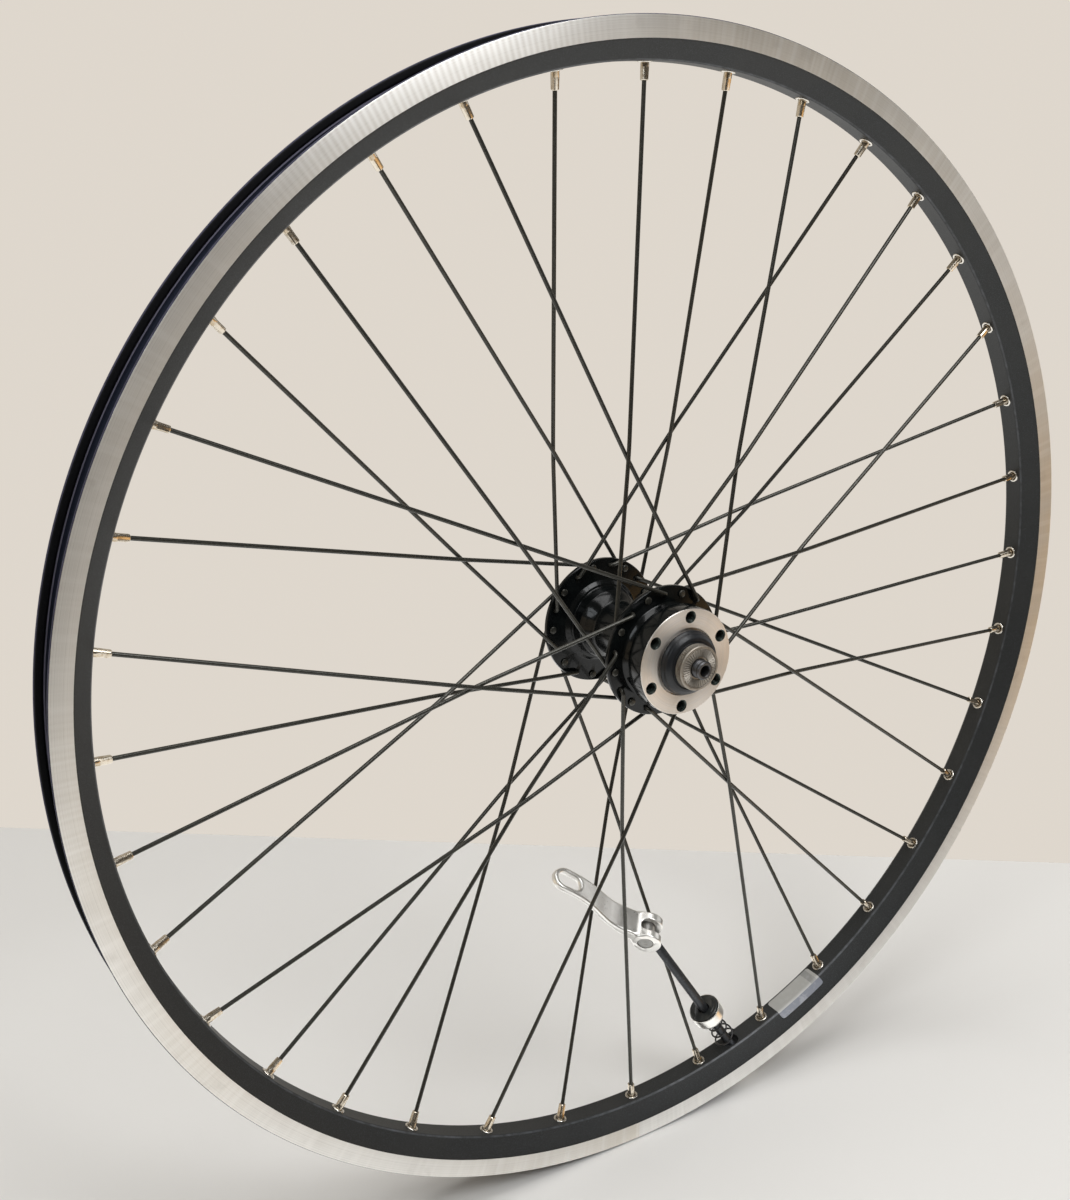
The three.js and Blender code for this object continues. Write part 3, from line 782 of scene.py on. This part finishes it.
def make_nipple(side, turn, sides=32):
    """A 12 mm nipple: a round neck, four wrench flats below it, and a domed head inside the rim."""
    *_, foot, approach = spoke_run(side, turn)
    # Each ring has a height, a radius, and a share from round (0) to square (1).
    rings = [(0, 1.45, 1), (0.35, 1.8, 1), (5.2, NIPPLE_R, 1), (5.7, NIPPLE_R, 0.6), (6.2, NIPPLE_R, 0)]
    for rise, r in ((0, NIPPLE_R), (0.1, 2.9), (0.9, 2.95), (1.6, 2.4), (1.95, 1.3)):
        rings.append((NIPPLE_LENGTH + rise, r, 0))
    angles = [TAU * k / sides for k in range(sides)]
    points, faces = [], []
    for y, r, square in rings:
        for a in angles:
            flat = NIPPLE_FLAT / max(abs(math.cos(a)), abs(math.sin(a)))
            reach = r * (1 - square) + min(r, flat) * square
            points.append((reach * math.sin(a), y, reach * math.cos(a)))
    bore = len(points)
    for y in (0, 1.4):
        points += [(NIPPLE_BORE_R * math.sin(a), y, NIPPLE_BORE_R * math.cos(a)) for a in angles]
    for start in range(0, bore - sides, sides):
        faces += bridge(start, start + sides, sides)
    faces += bridge(0, bore, sides) + bridge(bore, bore + sides, sides)
    faces += [tuple(range(bore + sides, bore + 2 * sides)), tuple(range(bore - sides, bore))]
    return place(make_mesh(points, faces, None, 28), between(foot, approach))


def make_eyelet():
    """A rolled steel ring on the bed, with its barrel down the nipple hole."""
    ring = lathe([
        (2.28, -2.9, 0.1), (2.52, -2.9, 0.1), (2.52, -0.05, 0.12), (3.35, -0.02, 0.1), (3.5, 0.14, 0.12),
        (3.25, 0.5, 0.25), (2.7, 0.62, 0.25), (2.32, 0.3, 0.3),
    ], 40)
    return place(ring, between(Vector((0, 0, BED_R)), Vector((0, 0, -1))))


patterns = [(-1, 1), (1, -1), (-1, -1), (1, 1)]
spoke_meshes = [make_spoke(*p) for p in patterns]
nipple_meshes = [make_nipple(*p) for p in patterns]
eyelet_mesh = make_eyelet()
for i in range(SPOKE_COUNT):
    turn = Matrix.Rotation(math.radians(FIRST_NIPPLE_ANGLE + SPOKE_STEP * i), 4, "Y")
    number = f"{i + 1:02d}"
    wire, nipple = spoke_meshes[i % len(patterns)], nipple_meshes[i % len(patterns)]
    add(f"spoke_wire_{number}", wire, "wheel", "spoke", turn, (f"spoke_{number}",))
    add(f"nipple_{number}", nipple, "wheel", "nipple", turn)
    add(f"eyelet_{number}", eyelet_mesh, "wheel", "eyelet", turn)

# ---- hub shell

SEAT, HOLE = 1, 2  # slot 0 is the gloss black
hub_section = [
    (16.6, DISC_FACE, 0.15, SEAT), (16.6, -38.3, 0.2, SEAT),
    (13.5, -38.3, 0.2), (13.5, -30.2, 0.3), (10, -30.2, 0.3), (10, 30.2, 0.3), (13.5, 30.2, 0.3),
    (13.5, 40, 0.2), (16.5, 40, 0.5), (17.2, 35.6, 0.8), (25, 34.8, 2), (FLANGE_R, 34.8, 0.7),
    (FLANGE_R, 32.2, 0.7), (21.5, 32.2, 1.4), (19.6, 30.6, 0.9), (18.2, 30.2, 0.7), (18, 24.4, 1.4),
    (16.4, 22.2, 1.5), (13.6, 18.6, 3), (13.6, -7.5, 5), (17.2, -13.8, 2.5), (19.4, -17.6, 1.6),
    (22, -19.2, 1.5), (FLANGE_R, -19.2, 0.7), (FLANGE_R, -21.8, 0.7), (24, -21.8, 1.6), (22, -25, 1.6),
    (24.6, -29.4, 0.8), (DISC_MOUNT_R, -30, 0.5), (DISC_MOUNT_R, -38.9, 0.12),
    (DISC_MOUNT_R - 0.12, -39.15, 0.1, SEAT), (25.85, DISC_FACE, 0.1, SEAT),
]

hub_tools = []
for i in range(SPOKE_COUNT // 2):
    near_angle = FIRST_NIPPLE_ANGLE + LACING_ANGLE + 2 * SPOKE_STEP * i
    for flange, angle in ((NEAR_FLANGE, near_angle), (FAR_FLANGE, near_angle + SPOKE_STEP)):
        ends = [on_wheel(FLANGE_HOLE_CIRCLE_R, angle, flange + reach) for reach in (-2.4, 2.4)]
        hub_tools.append(bar(*ends, FLANGE_HOLE_R, 16))
bolt_line = [(0, -1), (3.05, -1), (3.05, 0), (2.45, 0.6), (2.45, 7.2), (0, 8)]
bolt_hole = lathe([(r, y, 0, HOLE) for r, y in bolt_line], 28, closed=False)
for i in range(DISC_BOLT_COUNT):
    angle = FIRST_BOLT_ANGLE + 360 / DISC_BOLT_COUNT * i
    hub_tools.append(place(bolt_hole, Matrix.Translation(on_wheel(DISC_BOLT_CIRCLE_R, angle, DISC_FACE))))
hub = cut(lathe(hub_section, 288), hub_tools)
add("hub_shell_body", hub, "wheel", "hub seat hole", replaces=("hub_shell",))

# ---- bearings and axle


def race(from_angle, to_angle, steps=7):
    return [
        (BALL_CIRCLE_R + RACE_R * math.cos(a), BALL_PLANE + RACE_R * math.sin(a))
        for a in np.radians(np.linspace(from_angle, to_angle, steps + 1))
    ]


def make_ball_cage():
    """Ten balls in a pressed steel retainer that waves between them."""
    def waved(r, y, a):
        return r, y + 0.35 * math.cos(a * BALL_COUNT) if y > 35.8 else y

    ring = lathe([(7.5, 36, 0.1), (9.9, 36, 0.1), (9.9, 36.5, 0.1), (7.5, 36.5, 0.1)], 120, waved)
    bm = bmesh.new()
    for k in range(BALL_COUNT):
        centre = Matrix.Translation(on_wheel(BALL_CIRCLE_R, 360 / BALL_COUNT * k, BALL_PLANE))
        bmesh.ops.create_uvsphere(bm, u_segments=24, v_segments=14, radius=BALL_R, matrix=centre)
    balls = bpy.data.meshes.new("balls")
    bm.to_mesh(balls)
    bm.free()
    balls.polygons.foreach_set("material_index", [1] * len(balls.polygons))
    return join(ring, balls, sharp_angle=40)


TEETH = 40
KNURLS = 60


def locknut_shape(r, y, a):
    """Radial serrations on the locknut's face, and knurls round it."""
    if y > LOCKNUT_FACE - 0.3 and 5.6 < r < 9.3:
        return r, LOCKNUT_FACE - 0.6 * abs((a * TEETH / TAU) % 1 - 0.5) * 2
    if r > 10.9 and 46.3 < y < 49.1:
        return r - 0.3 * (0.5 + 0.5 * math.cos(a * KNURLS)), y
    return r, y


locknut_section = [
    (4.75, 45.3, 0.2), (10.6, 45.3), (11, 45.7), (11, 46), (11, 46.5), (11, 48.9), (11, 49.3),
    (10.6, 49.9, 0.25), (9.75, 49.95, 0.1), (9.5, 49.5, 0.05), (9.2, LOCKNUT_FACE), (5.7, LOCKNUT_FACE),
    (5.5, 49.4, 0.05), (4.75, 49.4, 0.1),
]
boot_section = [
    (8.7, 41.3, 0.1), (12.4, 40.9, 0.2), (15.4, 40.1, 0.1), (15.9, 40.5, 0.25), (15.9, 41.35, 0.35),
    (15.2, 42.3, 0.5), (14.9, 43.5, 0.9), (13.2, 44.7, 0.9), (11.9, 45, 0.3), (11.5, 44.75, 0.2),
    (11.2, 44.75, 0.15), (11.1, 45, 0.1), (8.7, 45, 0.1),
]
bearing_cup_section = [
    (13.2, 30.5, 0.3), (13.2, 39.2, 0.3), (11.7, 39.2, 0.2), *race(0, -90), (7.4, 32, 0.2), (7.4, 30.5, 0.2),
]
cone_section = [
    (4.8, 33.2, 0.2), (5.7, 33.2, 0.2), *race(180, 90), (9.6, 38.2, 0.2), (9.6, 40.6, 0.2), (8.3, 41, 0.2),
    (8.3, 45, 0.2), (4.8, 45, 0.2),
]
seal_section = [
    (9.9, 38.6, 0.1), (10.3, 38.4, 0.1), (11.4, 38.4, 0.15), (11.4, 40.1, 0.15), (10.9, 40.1, 0.1),
    (10.5, 39.5, 0.15), (9.9, 39.1, 0.1),
]
bearing_pieces = [
    ("bearing_cup", "wheel", "bearing_steel", "bearing", 96, bearing_cup_section, None),
    ("cone", "axle_set", "bearing_steel", "bearing", 96, cone_section, None),
    ("seal_ring", "wheel", "black_rubber", "rubber", 96, seal_section, None),
    ("dust_boot", "axle_set", "black_rubber", "rubber", 128, boot_section, None),
    ("locknut", "axle_set", "locknut_steel", "locknut", 320, locknut_section, locknut_shape),
]
hub_sides = (
    ("far_side", "ball_cage_far", Matrix.Identity(4)),
    ("disc_side", "ball_cage_disc", Matrix.Rotation(math.pi, 4, "X")),
)
for side_name, cage_body, flip in hub_sides:
    for piece, body, slot, finish, steps, section, shape in bearing_pieces:
        mesh, name = place(lathe(section, steps, shape), flip), f"{piece}_{side_name}"
        add(f"{name}_fine", mesh, body, finish, replaces=(name,))
    mesh, name = place(make_ball_cage(), flip), f"ball_cage_{side_name}"
    add(f"{name}_fine", mesh, cage_body, "cage bearing", replaces=(name,))


def threaded(depth, pitch, start, end, radius):
    """A rolled thread on a round bar about Y, which runs out at both ends."""
    def shape(r, y, a):
        if abs(r - radius) > 1e-3 or not start < y < end:
            return r, y
        fade = min(1, (y - start) / pitch, (end - y) / pitch)
        wave = 0.5 + 0.5 * math.cos(TAU * (y / pitch) - a)
        return r - depth * fade * wave, y
    return shape


def rows(radius, start, end, pitch, per_turn):
    """Close section points along a bar, so that a thread can be cut between them."""
    count = max(2, round((end - start) / pitch * per_turn))
    return [(radius, float(y)) for y in np.linspace(start, end, count + 1)]


AXLE_PITCH = 1
AXLE_THREAD_START, AXLE_THREAD_END = 49.6, AXLE_END - 0.8
half_axle = [
    *rows(AXLE_R, AXLE_THREAD_START, AXLE_THREAD_END, AXLE_PITCH, 8), (AXLE_R - 0.1, AXLE_END - 0.5),
    (AXLE_R - 0.55, AXLE_END, 0.15), (AXLE_BORE_R + 0.3, AXLE_END, 0.15), (AXLE_BORE_R, AXLE_END - 0.5),
]
half_thread = threaded(0.35, AXLE_PITCH, AXLE_THREAD_START, AXLE_THREAD_END, AXLE_R)


def axle_thread(r, y, a):
    return half_thread(r, abs(y), a if y > 0 else -a)[0], y


axle = lathe(mirrored(half_axle), 64, axle_thread, sharp_angle=45)
add("axle_hollow", axle, "axle_set", "axle", replaces=("axle",))

# ---- skewer

skewer_frame = Matrix.Translation(on_wheel((BED_R + WELL_R) / 2, VALVE_ANGLE, 0)) @ Matrix.Rotation(
    math.radians(VALVE_ANGLE + 180 - SKEWER_LEAN), 4, "Y"
)
barrel_turn = Matrix.Rotation(math.radians(BARREL_TURN), 4, "Z")
fork_frame = skewer_frame @ Matrix.Translation((0, 0, PIVOT_HEIGHT)) @ barrel_turn
lever_frame = fork_frame @ Matrix.Rotation(math.radians(LEVER_SWING), 4, "Y")


def turned_on_z(*section_and_steps, **options):
    """A lathed piece whose axis is Z, as in the skewer's frame."""
    return place(lathe(*section_and_steps, **options), Matrix.Rotation(math.pi / 2, 4, "X"))


ROD_PITCH = 0.8
ROD_THREAD_START, ROD_THREAD_END = -17.6, 7.5
rod_thread = threaded(0.28, ROD_PITCH, ROD_THREAD_START, ROD_THREAD_END, ROD_R)
rod_section = [
    (0, ROD_TAIL), (2.1, ROD_TAIL, 0.1), *rows(ROD_R, ROD_THREAD_START, ROD_THREAD_END, ROD_PITCH, 6),
    (ROD_R, PIVOT_HEIGHT + 2), (2.1, PIVOT_HEIGHT + 2.4), (0, PIVOT_HEIGHT + 2.4),
]
rod = turned_on_z(rod_section, 32, rod_thread, closed=False, sharp_angle=45)
add("skewer_rod_threaded", rod, "wheel", "rod", skewer_frame, ("skewer_rod",))

cup = turned_on_z([
    (2.9, CUP_BACK, 0.2), (6.2, CUP_BACK, 0.8), (8.3, CUP_BACK + 1, 1.2), (CUP_R, CUP_BACK + 2.7, 1.6),
    (CUP_R, CUP_FRONT - 0.4, 0.3), (8.8, CUP_FRONT, 0.12), (8.62, CUP_FRONT - 0.15, 0.08),
    (8.6, CUP_BACK + 3, 0.3), (2.9, CUP_BACK + 3, 0.2),
], 128)
add("lever_cup_polished", cup, "sliding_cup", "cup", skewer_frame, ("lever_cup",))

liner = turned_on_z([
    (3.2, CUP_BACK + 3.3, 0.1), (LINER_R, CUP_BACK + 3.3, 0.2), (LINER_R, LINER_FRONT - 0.5, 0.25),
    (7.9, LINER_FRONT, 0.25), (6.9, LINER_FRONT, 0.15), (6.7, LINER_FRONT - 0.35, 0.15),
    (6.1, LINER_FRONT - 0.35, 0.15), (5.9, LINER_FRONT, 0.15), (3.9, LINER_FRONT, 0.3),
    (3.2, LINER_FRONT - 0.6, 0.2),
], 96)
CRADLE_R = 14
cradle_height = LINER_FRONT - 0.9 + CRADLE_R
cradle = bar((0, -12, cradle_height), (0, 12, cradle_height), CRADLE_R, 160)
liner = cut(liner, [place(cradle, barrel_turn)], 25)
add("cup_liner_cradle", liner, "sliding_cup", "liner", skewer_frame, ("cup_liner",))


def coil(start, end, start_r, end_r, turns, wire_r, flat_turns):
    """A conical spring whose end turns lie nearly flat."""
    per_turn = 30
    steps = round(turns * per_turn)
    t = np.arange(steps + 1) / per_turn
    rise = np.clip(np.minimum(t, turns - t) / flat_turns, 0.2, 1) * (1.7 - 1.3 * t / turns)
    height = np.concatenate([[0], np.cumsum((rise[1:] + rise[:-1]) / 2)])
    height = start + (end - start) * height / height[-1]
    radius = end_r + (start_r - end_r) * (1 - t / turns) ** 1.6
    path = [Vector((r * math.cos(TAU * k), r * math.sin(TAU * k), z)) for r, k, z in zip(radius, t, height)]
    return sweep(path, wire_r, 12, 60)


lever_spring = coil(8, 29.6, 6.5, 3.6, 4.6, 0.5, 0.45)
nut_spring = coil(-7.6, -9.3, 4.7, 3.4, 1.5, 0.45, 0.4)
for name, mesh in (("lever_spring", lever_spring), ("nut_spring", nut_spring)):
    add(f"{name}_coil", mesh, "wheel", "spring", skewer_frame, (name,))

NUT_LOBES = 30
NUT_TEETH = 30


def nut_shape(r, y, a):
    """Lobes round the nut's rim and serrations on its face."""
    if r > 7.9 and -13.3 < y < -10.8:
        return r - 0.4 * math.sin(a * NUT_LOBES / 2) ** 2, y
    if y > NUT_FACE - 0.05 and 4 < r < 7:
        return r, y - 0.3 * abs((a * NUT_TEETH / TAU) % 1 - 0.5) * 2
    return r, y


nut = turned_on_z([
    (2.8, NUT_FACE, 0.1), (3.9, NUT_FACE), (4.3, NUT_FACE), (6.8, NUT_FACE), (7.2, NUT_FACE),
    (7.6, NUT_FACE, 0.1), (NUT_R, -10.6), (NUT_R, -11), (NUT_R, -13.1), (NUT_R, -13.5), (6.5, -15, 0.5),
    (6.2, -19.2, 0.3), (5.2, NUT_END, 0.3), (0, NUT_END), (0, -18.8), (2.8, -18.8, 0.1),
], 240, nut_shape)
add("skewer_nut_knurled", nut, "nut", "cup", skewer_frame, ("skewer_nut",))

barrel_half = [
    (0, BARREL_HALF_LENGTH - 0.25), (1.2, BARREL_HALF_LENGTH - 0.25, 0.2), (1.5, BARREL_HALF_LENGTH, 0.15),
    (3.75, BARREL_HALF_LENGTH, 0.15), (BARREL_R, BARREL_HALF_LENGTH - 0.3, 0.1),
]
barrel = lathe([(r, -y, *fillet) for r, y, *fillet in barrel_half] + barrel_half[::-1], 96, closed=False)
barrel = cut(barrel, [bar((0, 0, -6), (0, 0, 2.7), ROD_R + 0.35, 48)])
add("skewer_barrel_pin", barrel, "wheel", "pin", fork_frame, ("skewer_barrel",))

# The lever is a solid described by distances, so that every edge of the forging is softly rounded.
BOW_Z = np.array([-12, 3, 8, 13, 18, 24, 30, 36, 42, 47, 52, 58, 64, 72.0])
BOW_X = np.array([0, 0, -0.85, -1.6, -2.1, -2.0, -0.75, 0.85, 2.0, 2.25, 1.9, 1.1, 0.0, -1.6])


def soft_max(a, b, k):
    h = np.clip(0.5 + 0.5 * (a - b) / k, 0, 1)
    return b * (1 - h) + a * h + k * h * (1 - h)


def soft_min(a, b, k):
    return -soft_max(-a, -b, k)


def smooth_step(a, b, x):
    t = np.clip((x - a) / (b - a), 0, 1)
    return t * t * (3 - 2 * t)


bow_grid = np.linspace(-12, 72, 400)
bow_values = np.interp(bow_grid, BOW_Z, BOW_X)
for _ in range(60):
    bow_values[1:-1] = (bow_values[:-2] + 2 * bow_values[1:-1] + bow_values[2:]) / 4


def lever_distance(p):
    """Roughly how far points lie outside the lever, in its own frame."""
    x, y, z = p[:, 0], p[:, 1], p[:, 2]
    bow = np.interp(z, bow_grid, bow_values)
    half_thick = 1.75 + 1.5 * (1 - smooth_step(4, 24, z)) + 0.25 * smooth_step(46, 58, z)
    slab = np.abs(x - bow) - half_thick
    tip = LEVER_LENGTH - LEVER_HALF_WIDTH
    half_wide = 7.6 - 1.1 * smooth_step(12, 44, z)
    beyond = np.maximum(z - tip, 0)
    plan = np.where(z > tip, np.hypot(y, beyond) - LEVER_HALF_WIDTH, np.abs(y) - half_wide)
    arm = soft_max(soft_max(slab, plan, 1.5), -z - 2, 0.5)
    head = soft_max(np.hypot(x, z - CAM_OFFSET) - CAM_R, np.abs(y) - BARREL_HALF_LENGTH, 0.9)
    body = soft_min(arm, head, 2.6)
    slot_end = np.hypot(np.maximum(z - 3.6, 0), np.maximum(np.abs(y) - 0.6, 0)) - (FORK_GAP / 2 - 0.6)
    body = soft_max(body, -slot_end, 0.7)
    along = np.clip(z, 51.4, tip)
    loop_wide = 3.55 + 0.35 * smooth_step(50, 57, z)
    body = soft_max(body, -(np.hypot(y, z - along) - loop_wide), 1.6)
    return soft_max(body, -(np.hypot(x, z) - BARREL_R - CLEARANCE), 0.5)


def block(half_x, half_y, low, high):
    points = [(x, y, z) for x in (-half_x, half_x) for y in (-half_y, half_y) for z in (low, high)]
    faces = [(0, 1, 3, 2), (4, 6, 7, 5), (0, 4, 5, 1), (2, 3, 7, 6), (0, 2, 6, 4), (1, 5, 7, 3)]
    return make_mesh(points, faces)


VOXEL = 0.34
FIT_ROUNDS, SMOOTH_ROUNDS = 14, 11


def make_lever():
    """A rough blank in the lever's outline, remeshed evenly and drawn onto the surface of lever_distance."""
    head = lathe([(0, -8.4), (8.4, -8.4), (8.4, 8.4), (0, 8.4)], 64, closed=False)
    points, faces = [], []
    stations = np.linspace(2, LEVER_LENGTH + 0.7, 50)
    for z in stations:
        bow = float(np.interp(z, bow_grid, bow_values))
        half_wide = 8.4 if z < 20 else 7.4
        for dx, dy in ((-3, -half_wide), (3, -half_wide), (3, half_wide), (-3, half_wide)):
            points.append((bow + dx, dy, float(z)))
    last = 4 * (len(stations) - 1)
    for start in range(0, last, 4):
        faces += bridge(start, start + 4, 4)
    faces += [(3, 2, 1, 0), tuple(range(last, last + 4))]
    head = place(head, Matrix.Translation((0, 0, CAM_OFFSET)))
    blank = cut(make_mesh(points, faces), [head], operation="UNION")
    bore = bar((0, -9, 0), (0, 9, 0), BARREL_R - 0.3, 64)
    blank = cut(cut(blank, [block(12, 2.7, -14, 6), block(9, 2.6, 49.8, 59)]), [bore])
    obj = put("lever_blank", blank)
    remesh = obj.modifiers.new("voxels", "REMESH")
    remesh.mode = "VOXEL"
    remesh.voxel_size = VOXEL
    mesh = evaluated(obj)
    bpy.data.objects.remove(obj)
    bm = bmesh.new()
    bm.from_mesh(mesh)
    step = 1e-3
    for fit_round in range(FIT_ROUNDS):
        p = np.array([v.co for v in bm.verts])
        rise = [lever_distance(p + d) - lever_distance(p - d) for d in np.eye(3) * step]
        slope = np.stack(rise, 1) / (2 * step)
        size = np.maximum((slope**2).sum(1), 0.25)
        move = slope * (np.clip(lever_distance(p), -0.5, 0.5) / size)[:, None]
        for v, m in zip(bm.verts, move):
            v.co -= Vector(m)
        if fit_round < SMOOTH_ROUNDS:
            every_axis = {"use_axis_x": True, "use_axis_y": True, "use_axis_z": True}
            bmesh.ops.smooth_vert(bm, verts=bm.verts, factor=0.5, **every_axis)
    bm.to_mesh(mesh)
    bm.free()
    return tidy(mesh, 60)


add("skewer_lever_forged", make_lever(), "lever", "lever", lever_frame, ("skewer_lever",))

# ---- stage, light and camera


BACKDROP = (0.735, 0.68, 0.61, 1)
ROOM_DARK, ROOM_FLOOR, ROOM_BACK = 0.08, 1, 0.56
bpy.context.scene.view_settings.view_transform = "Standard"

# The floor ends a little behind the wheel, along a line across the view, and the pale backdrop is beyond it.
FLOOR_AZIMUTH = math.radians(-35.7)
FLOOR_BEHIND, FLOOR_AHEAD, FLOOR_SIDE = 0.322, -1.7, 2.2
FLOOR_GAP = 0.0005
behind = Vector((-math.sin(FLOOR_AZIMUTH), math.cos(FLOOR_AZIMUTH), 0))
across = Vector((behind.y, -behind.x, 0))
below = Vector((0, 0, cad_low.z - FLOOR_GAP))
floor_mesh = bpy.data.meshes.new("floor")
floor_ends = [behind * y + below for y in (FLOOR_AHEAD, FLOOR_BEHIND)]
floor_points = [tuple(end + across * x) for end in floor_ends for x in (-FLOOR_SIDE, FLOOR_SIDE)]
floor_mesh.from_pydata(floor_points, [], [(0, 1, 3, 2)])
floor_material = bpy.data.materials.new("floor_pale")
floor_material.use_nodes = True
floor_shader = floor_material.node_tree.nodes["Principled BSDF"]
floor_shader.inputs["Base Color"].default_value = (0.76, 0.745, 0.72, 1)
floor_shader.inputs["Roughness"].default_value = 0.7
floor_mesh.materials.append(floor_material)
floor = put("floor", floor_mesh)
floor.visible_glossy = False  # mirror reflections see the room below instead

# The world is a pale backdrop to the camera. To reflections it is a dark room with a pale floor, a far wall
# behind the wheel, and a warm lamp low on the right.
world = bpy.data.worlds.new("studio")
bpy.context.scene.world = world
world.use_nodes = True
nodes, links = world.node_tree.nodes, world.node_tree.links
background = nodes["Background"]


def world_node(kind, **values):
    made = nodes.new(kind)
    for key, value in values.items():
        setattr(made, key, value)
    return made


def fade(source, low, high, out_low, out_high):
    made = world_node("ShaderNodeMapRange", interpolation_type="SMOOTHSTEP")
    map_range(made, low, high, out_low, out_high)
    links.new(source, made.inputs["Value"])
    return made.outputs["Result"]


def combine(operation, first, second):
    made = world_node("ShaderNodeMath", operation=operation)
    links.new(first, made.inputs[0])
    links.new(second, made.inputs[1])
    return made.outputs[0]


def mix(factor, first, color):
    made = world_node("ShaderNodeMix", data_type="RGBA")
    links.new(factor, made.inputs[0])
    links.new(first, made.inputs[6])
    made.inputs[7].default_value = color
    return made.outputs[2]


direction = world_node("ShaderNodeSeparateXYZ")
links.new(world_node("ShaderNodeTexCoord").outputs["Generated"], direction.inputs[0])
toward_x, toward_y, toward_z = direction.outputs
far_wall = fade(toward_y, -0.05, 0.65, ROOM_DARK, ROOM_BACK)
far_wall = combine("MULTIPLY", far_wall, fade(toward_z, 0.35, 0.8, 1, 0.3))
room = combine("MAXIMUM", far_wall, fade(toward_z, -0.46, -0.31, ROOM_FLOOR, ROOM_DARK))
room_color = world_node("ShaderNodeValToRGB")
stops = room_color.color_ramp.elements
stops[0].color, stops[1].color = (0.01, 0.0092, 0.008, 1), (1.4, 1.395, 1.37, 1)
stops.new(0.5).color = (0.5, 0.455, 0.385, 1)
links.new(room, room_color.inputs[0])
lamp = fade(toward_y, -0.15, 0.05, 1, 0)
for edge in (
    (toward_z, -0.5, -0.36, 0, 1), (toward_z, -0.2, -0.08, 1, 0),
    (toward_x, 0.62, 0.72, 0, 1), (toward_x, 0.84, 0.92, 1, 0),
):
    lamp = combine("MULTIPLY", lamp, fade(*edge))
lit_room = mix(lamp, room_color.outputs[0], (1.5, 0.9, 0.34, 1))
seen = mix(world_node("ShaderNodeLightPath").outputs["Is Camera Ray"], lit_room, BACKDROP)
links.new(seen, background.inputs["Color"])


def outward(azimuth, elevation):
    """A direction away from the wheel. Azimuth 0 is on the disc side, and positive is to its right."""
    a, e = math.radians(azimuth), math.radians(elevation)
    return Vector((math.sin(a) * math.cos(e), -math.cos(a) * math.cos(e), math.sin(e)))


def softbox(name, azimuth, elevation, distance, size, power, color=(1, 1, 1)):
    """A rectangular area light that faces the wheel."""
    light = bpy.data.lights.new(name, "AREA")
    light.shape = "RECTANGLE"
    light.size, light.size_y = size
    light.energy, light.color = power, color
    obj = put(name, light)
    out = outward(azimuth, elevation)
    obj.location = out * distance
    obj.rotation_euler = out.to_track_quat("Z", "Y").to_euler()
    obj.visible_camera = False


softbox("window_left", -62, 34, 2.2, (0.6, 0.9), 7, (0.9, 0.96, 1))
softbox("front_above", 13, 46, 2.3, (1.05, 1), 24, (0.97, 0.985, 1))
softbox("warm_left", -95, 0, 2.4, (2.4, 1.6), 7, (1, 0.8, 0.56))
softbox("side_right", 80, 12, 2.2, (1.2, 1.2), 4.5)
softbox("top", 30, 86, 2.4, (1.8, 1.8), 42)

# The camera looks from the disc side, from the left and above.
VIEW_DISTANCE, VIEW_RIGHT, VIEW_UP = 0.7075, -0.04915, 0.0267
back = outward(-31.67, 17.54)
right = Vector((-back.y, back.x, 0)).normalized()
up = back.cross(right)
camera = bpy.data.cameras.new("camera")
camera.sensor_width, camera.lens = 36, 43.06
camera.shift_x, camera.shift_y = -0.0022, -0.0137
camera.clip_start, camera.clip_end = 0.05, 50
camera_object = put("camera", camera)
stand = Matrix.Translation(back * VIEW_DISTANCE + right * VIEW_RIGHT + up * VIEW_UP)
camera_object.matrix_world = stand @ Matrix((right, up, back)).transposed().to_4x4()
bpy.context.scene.camera = camera_object
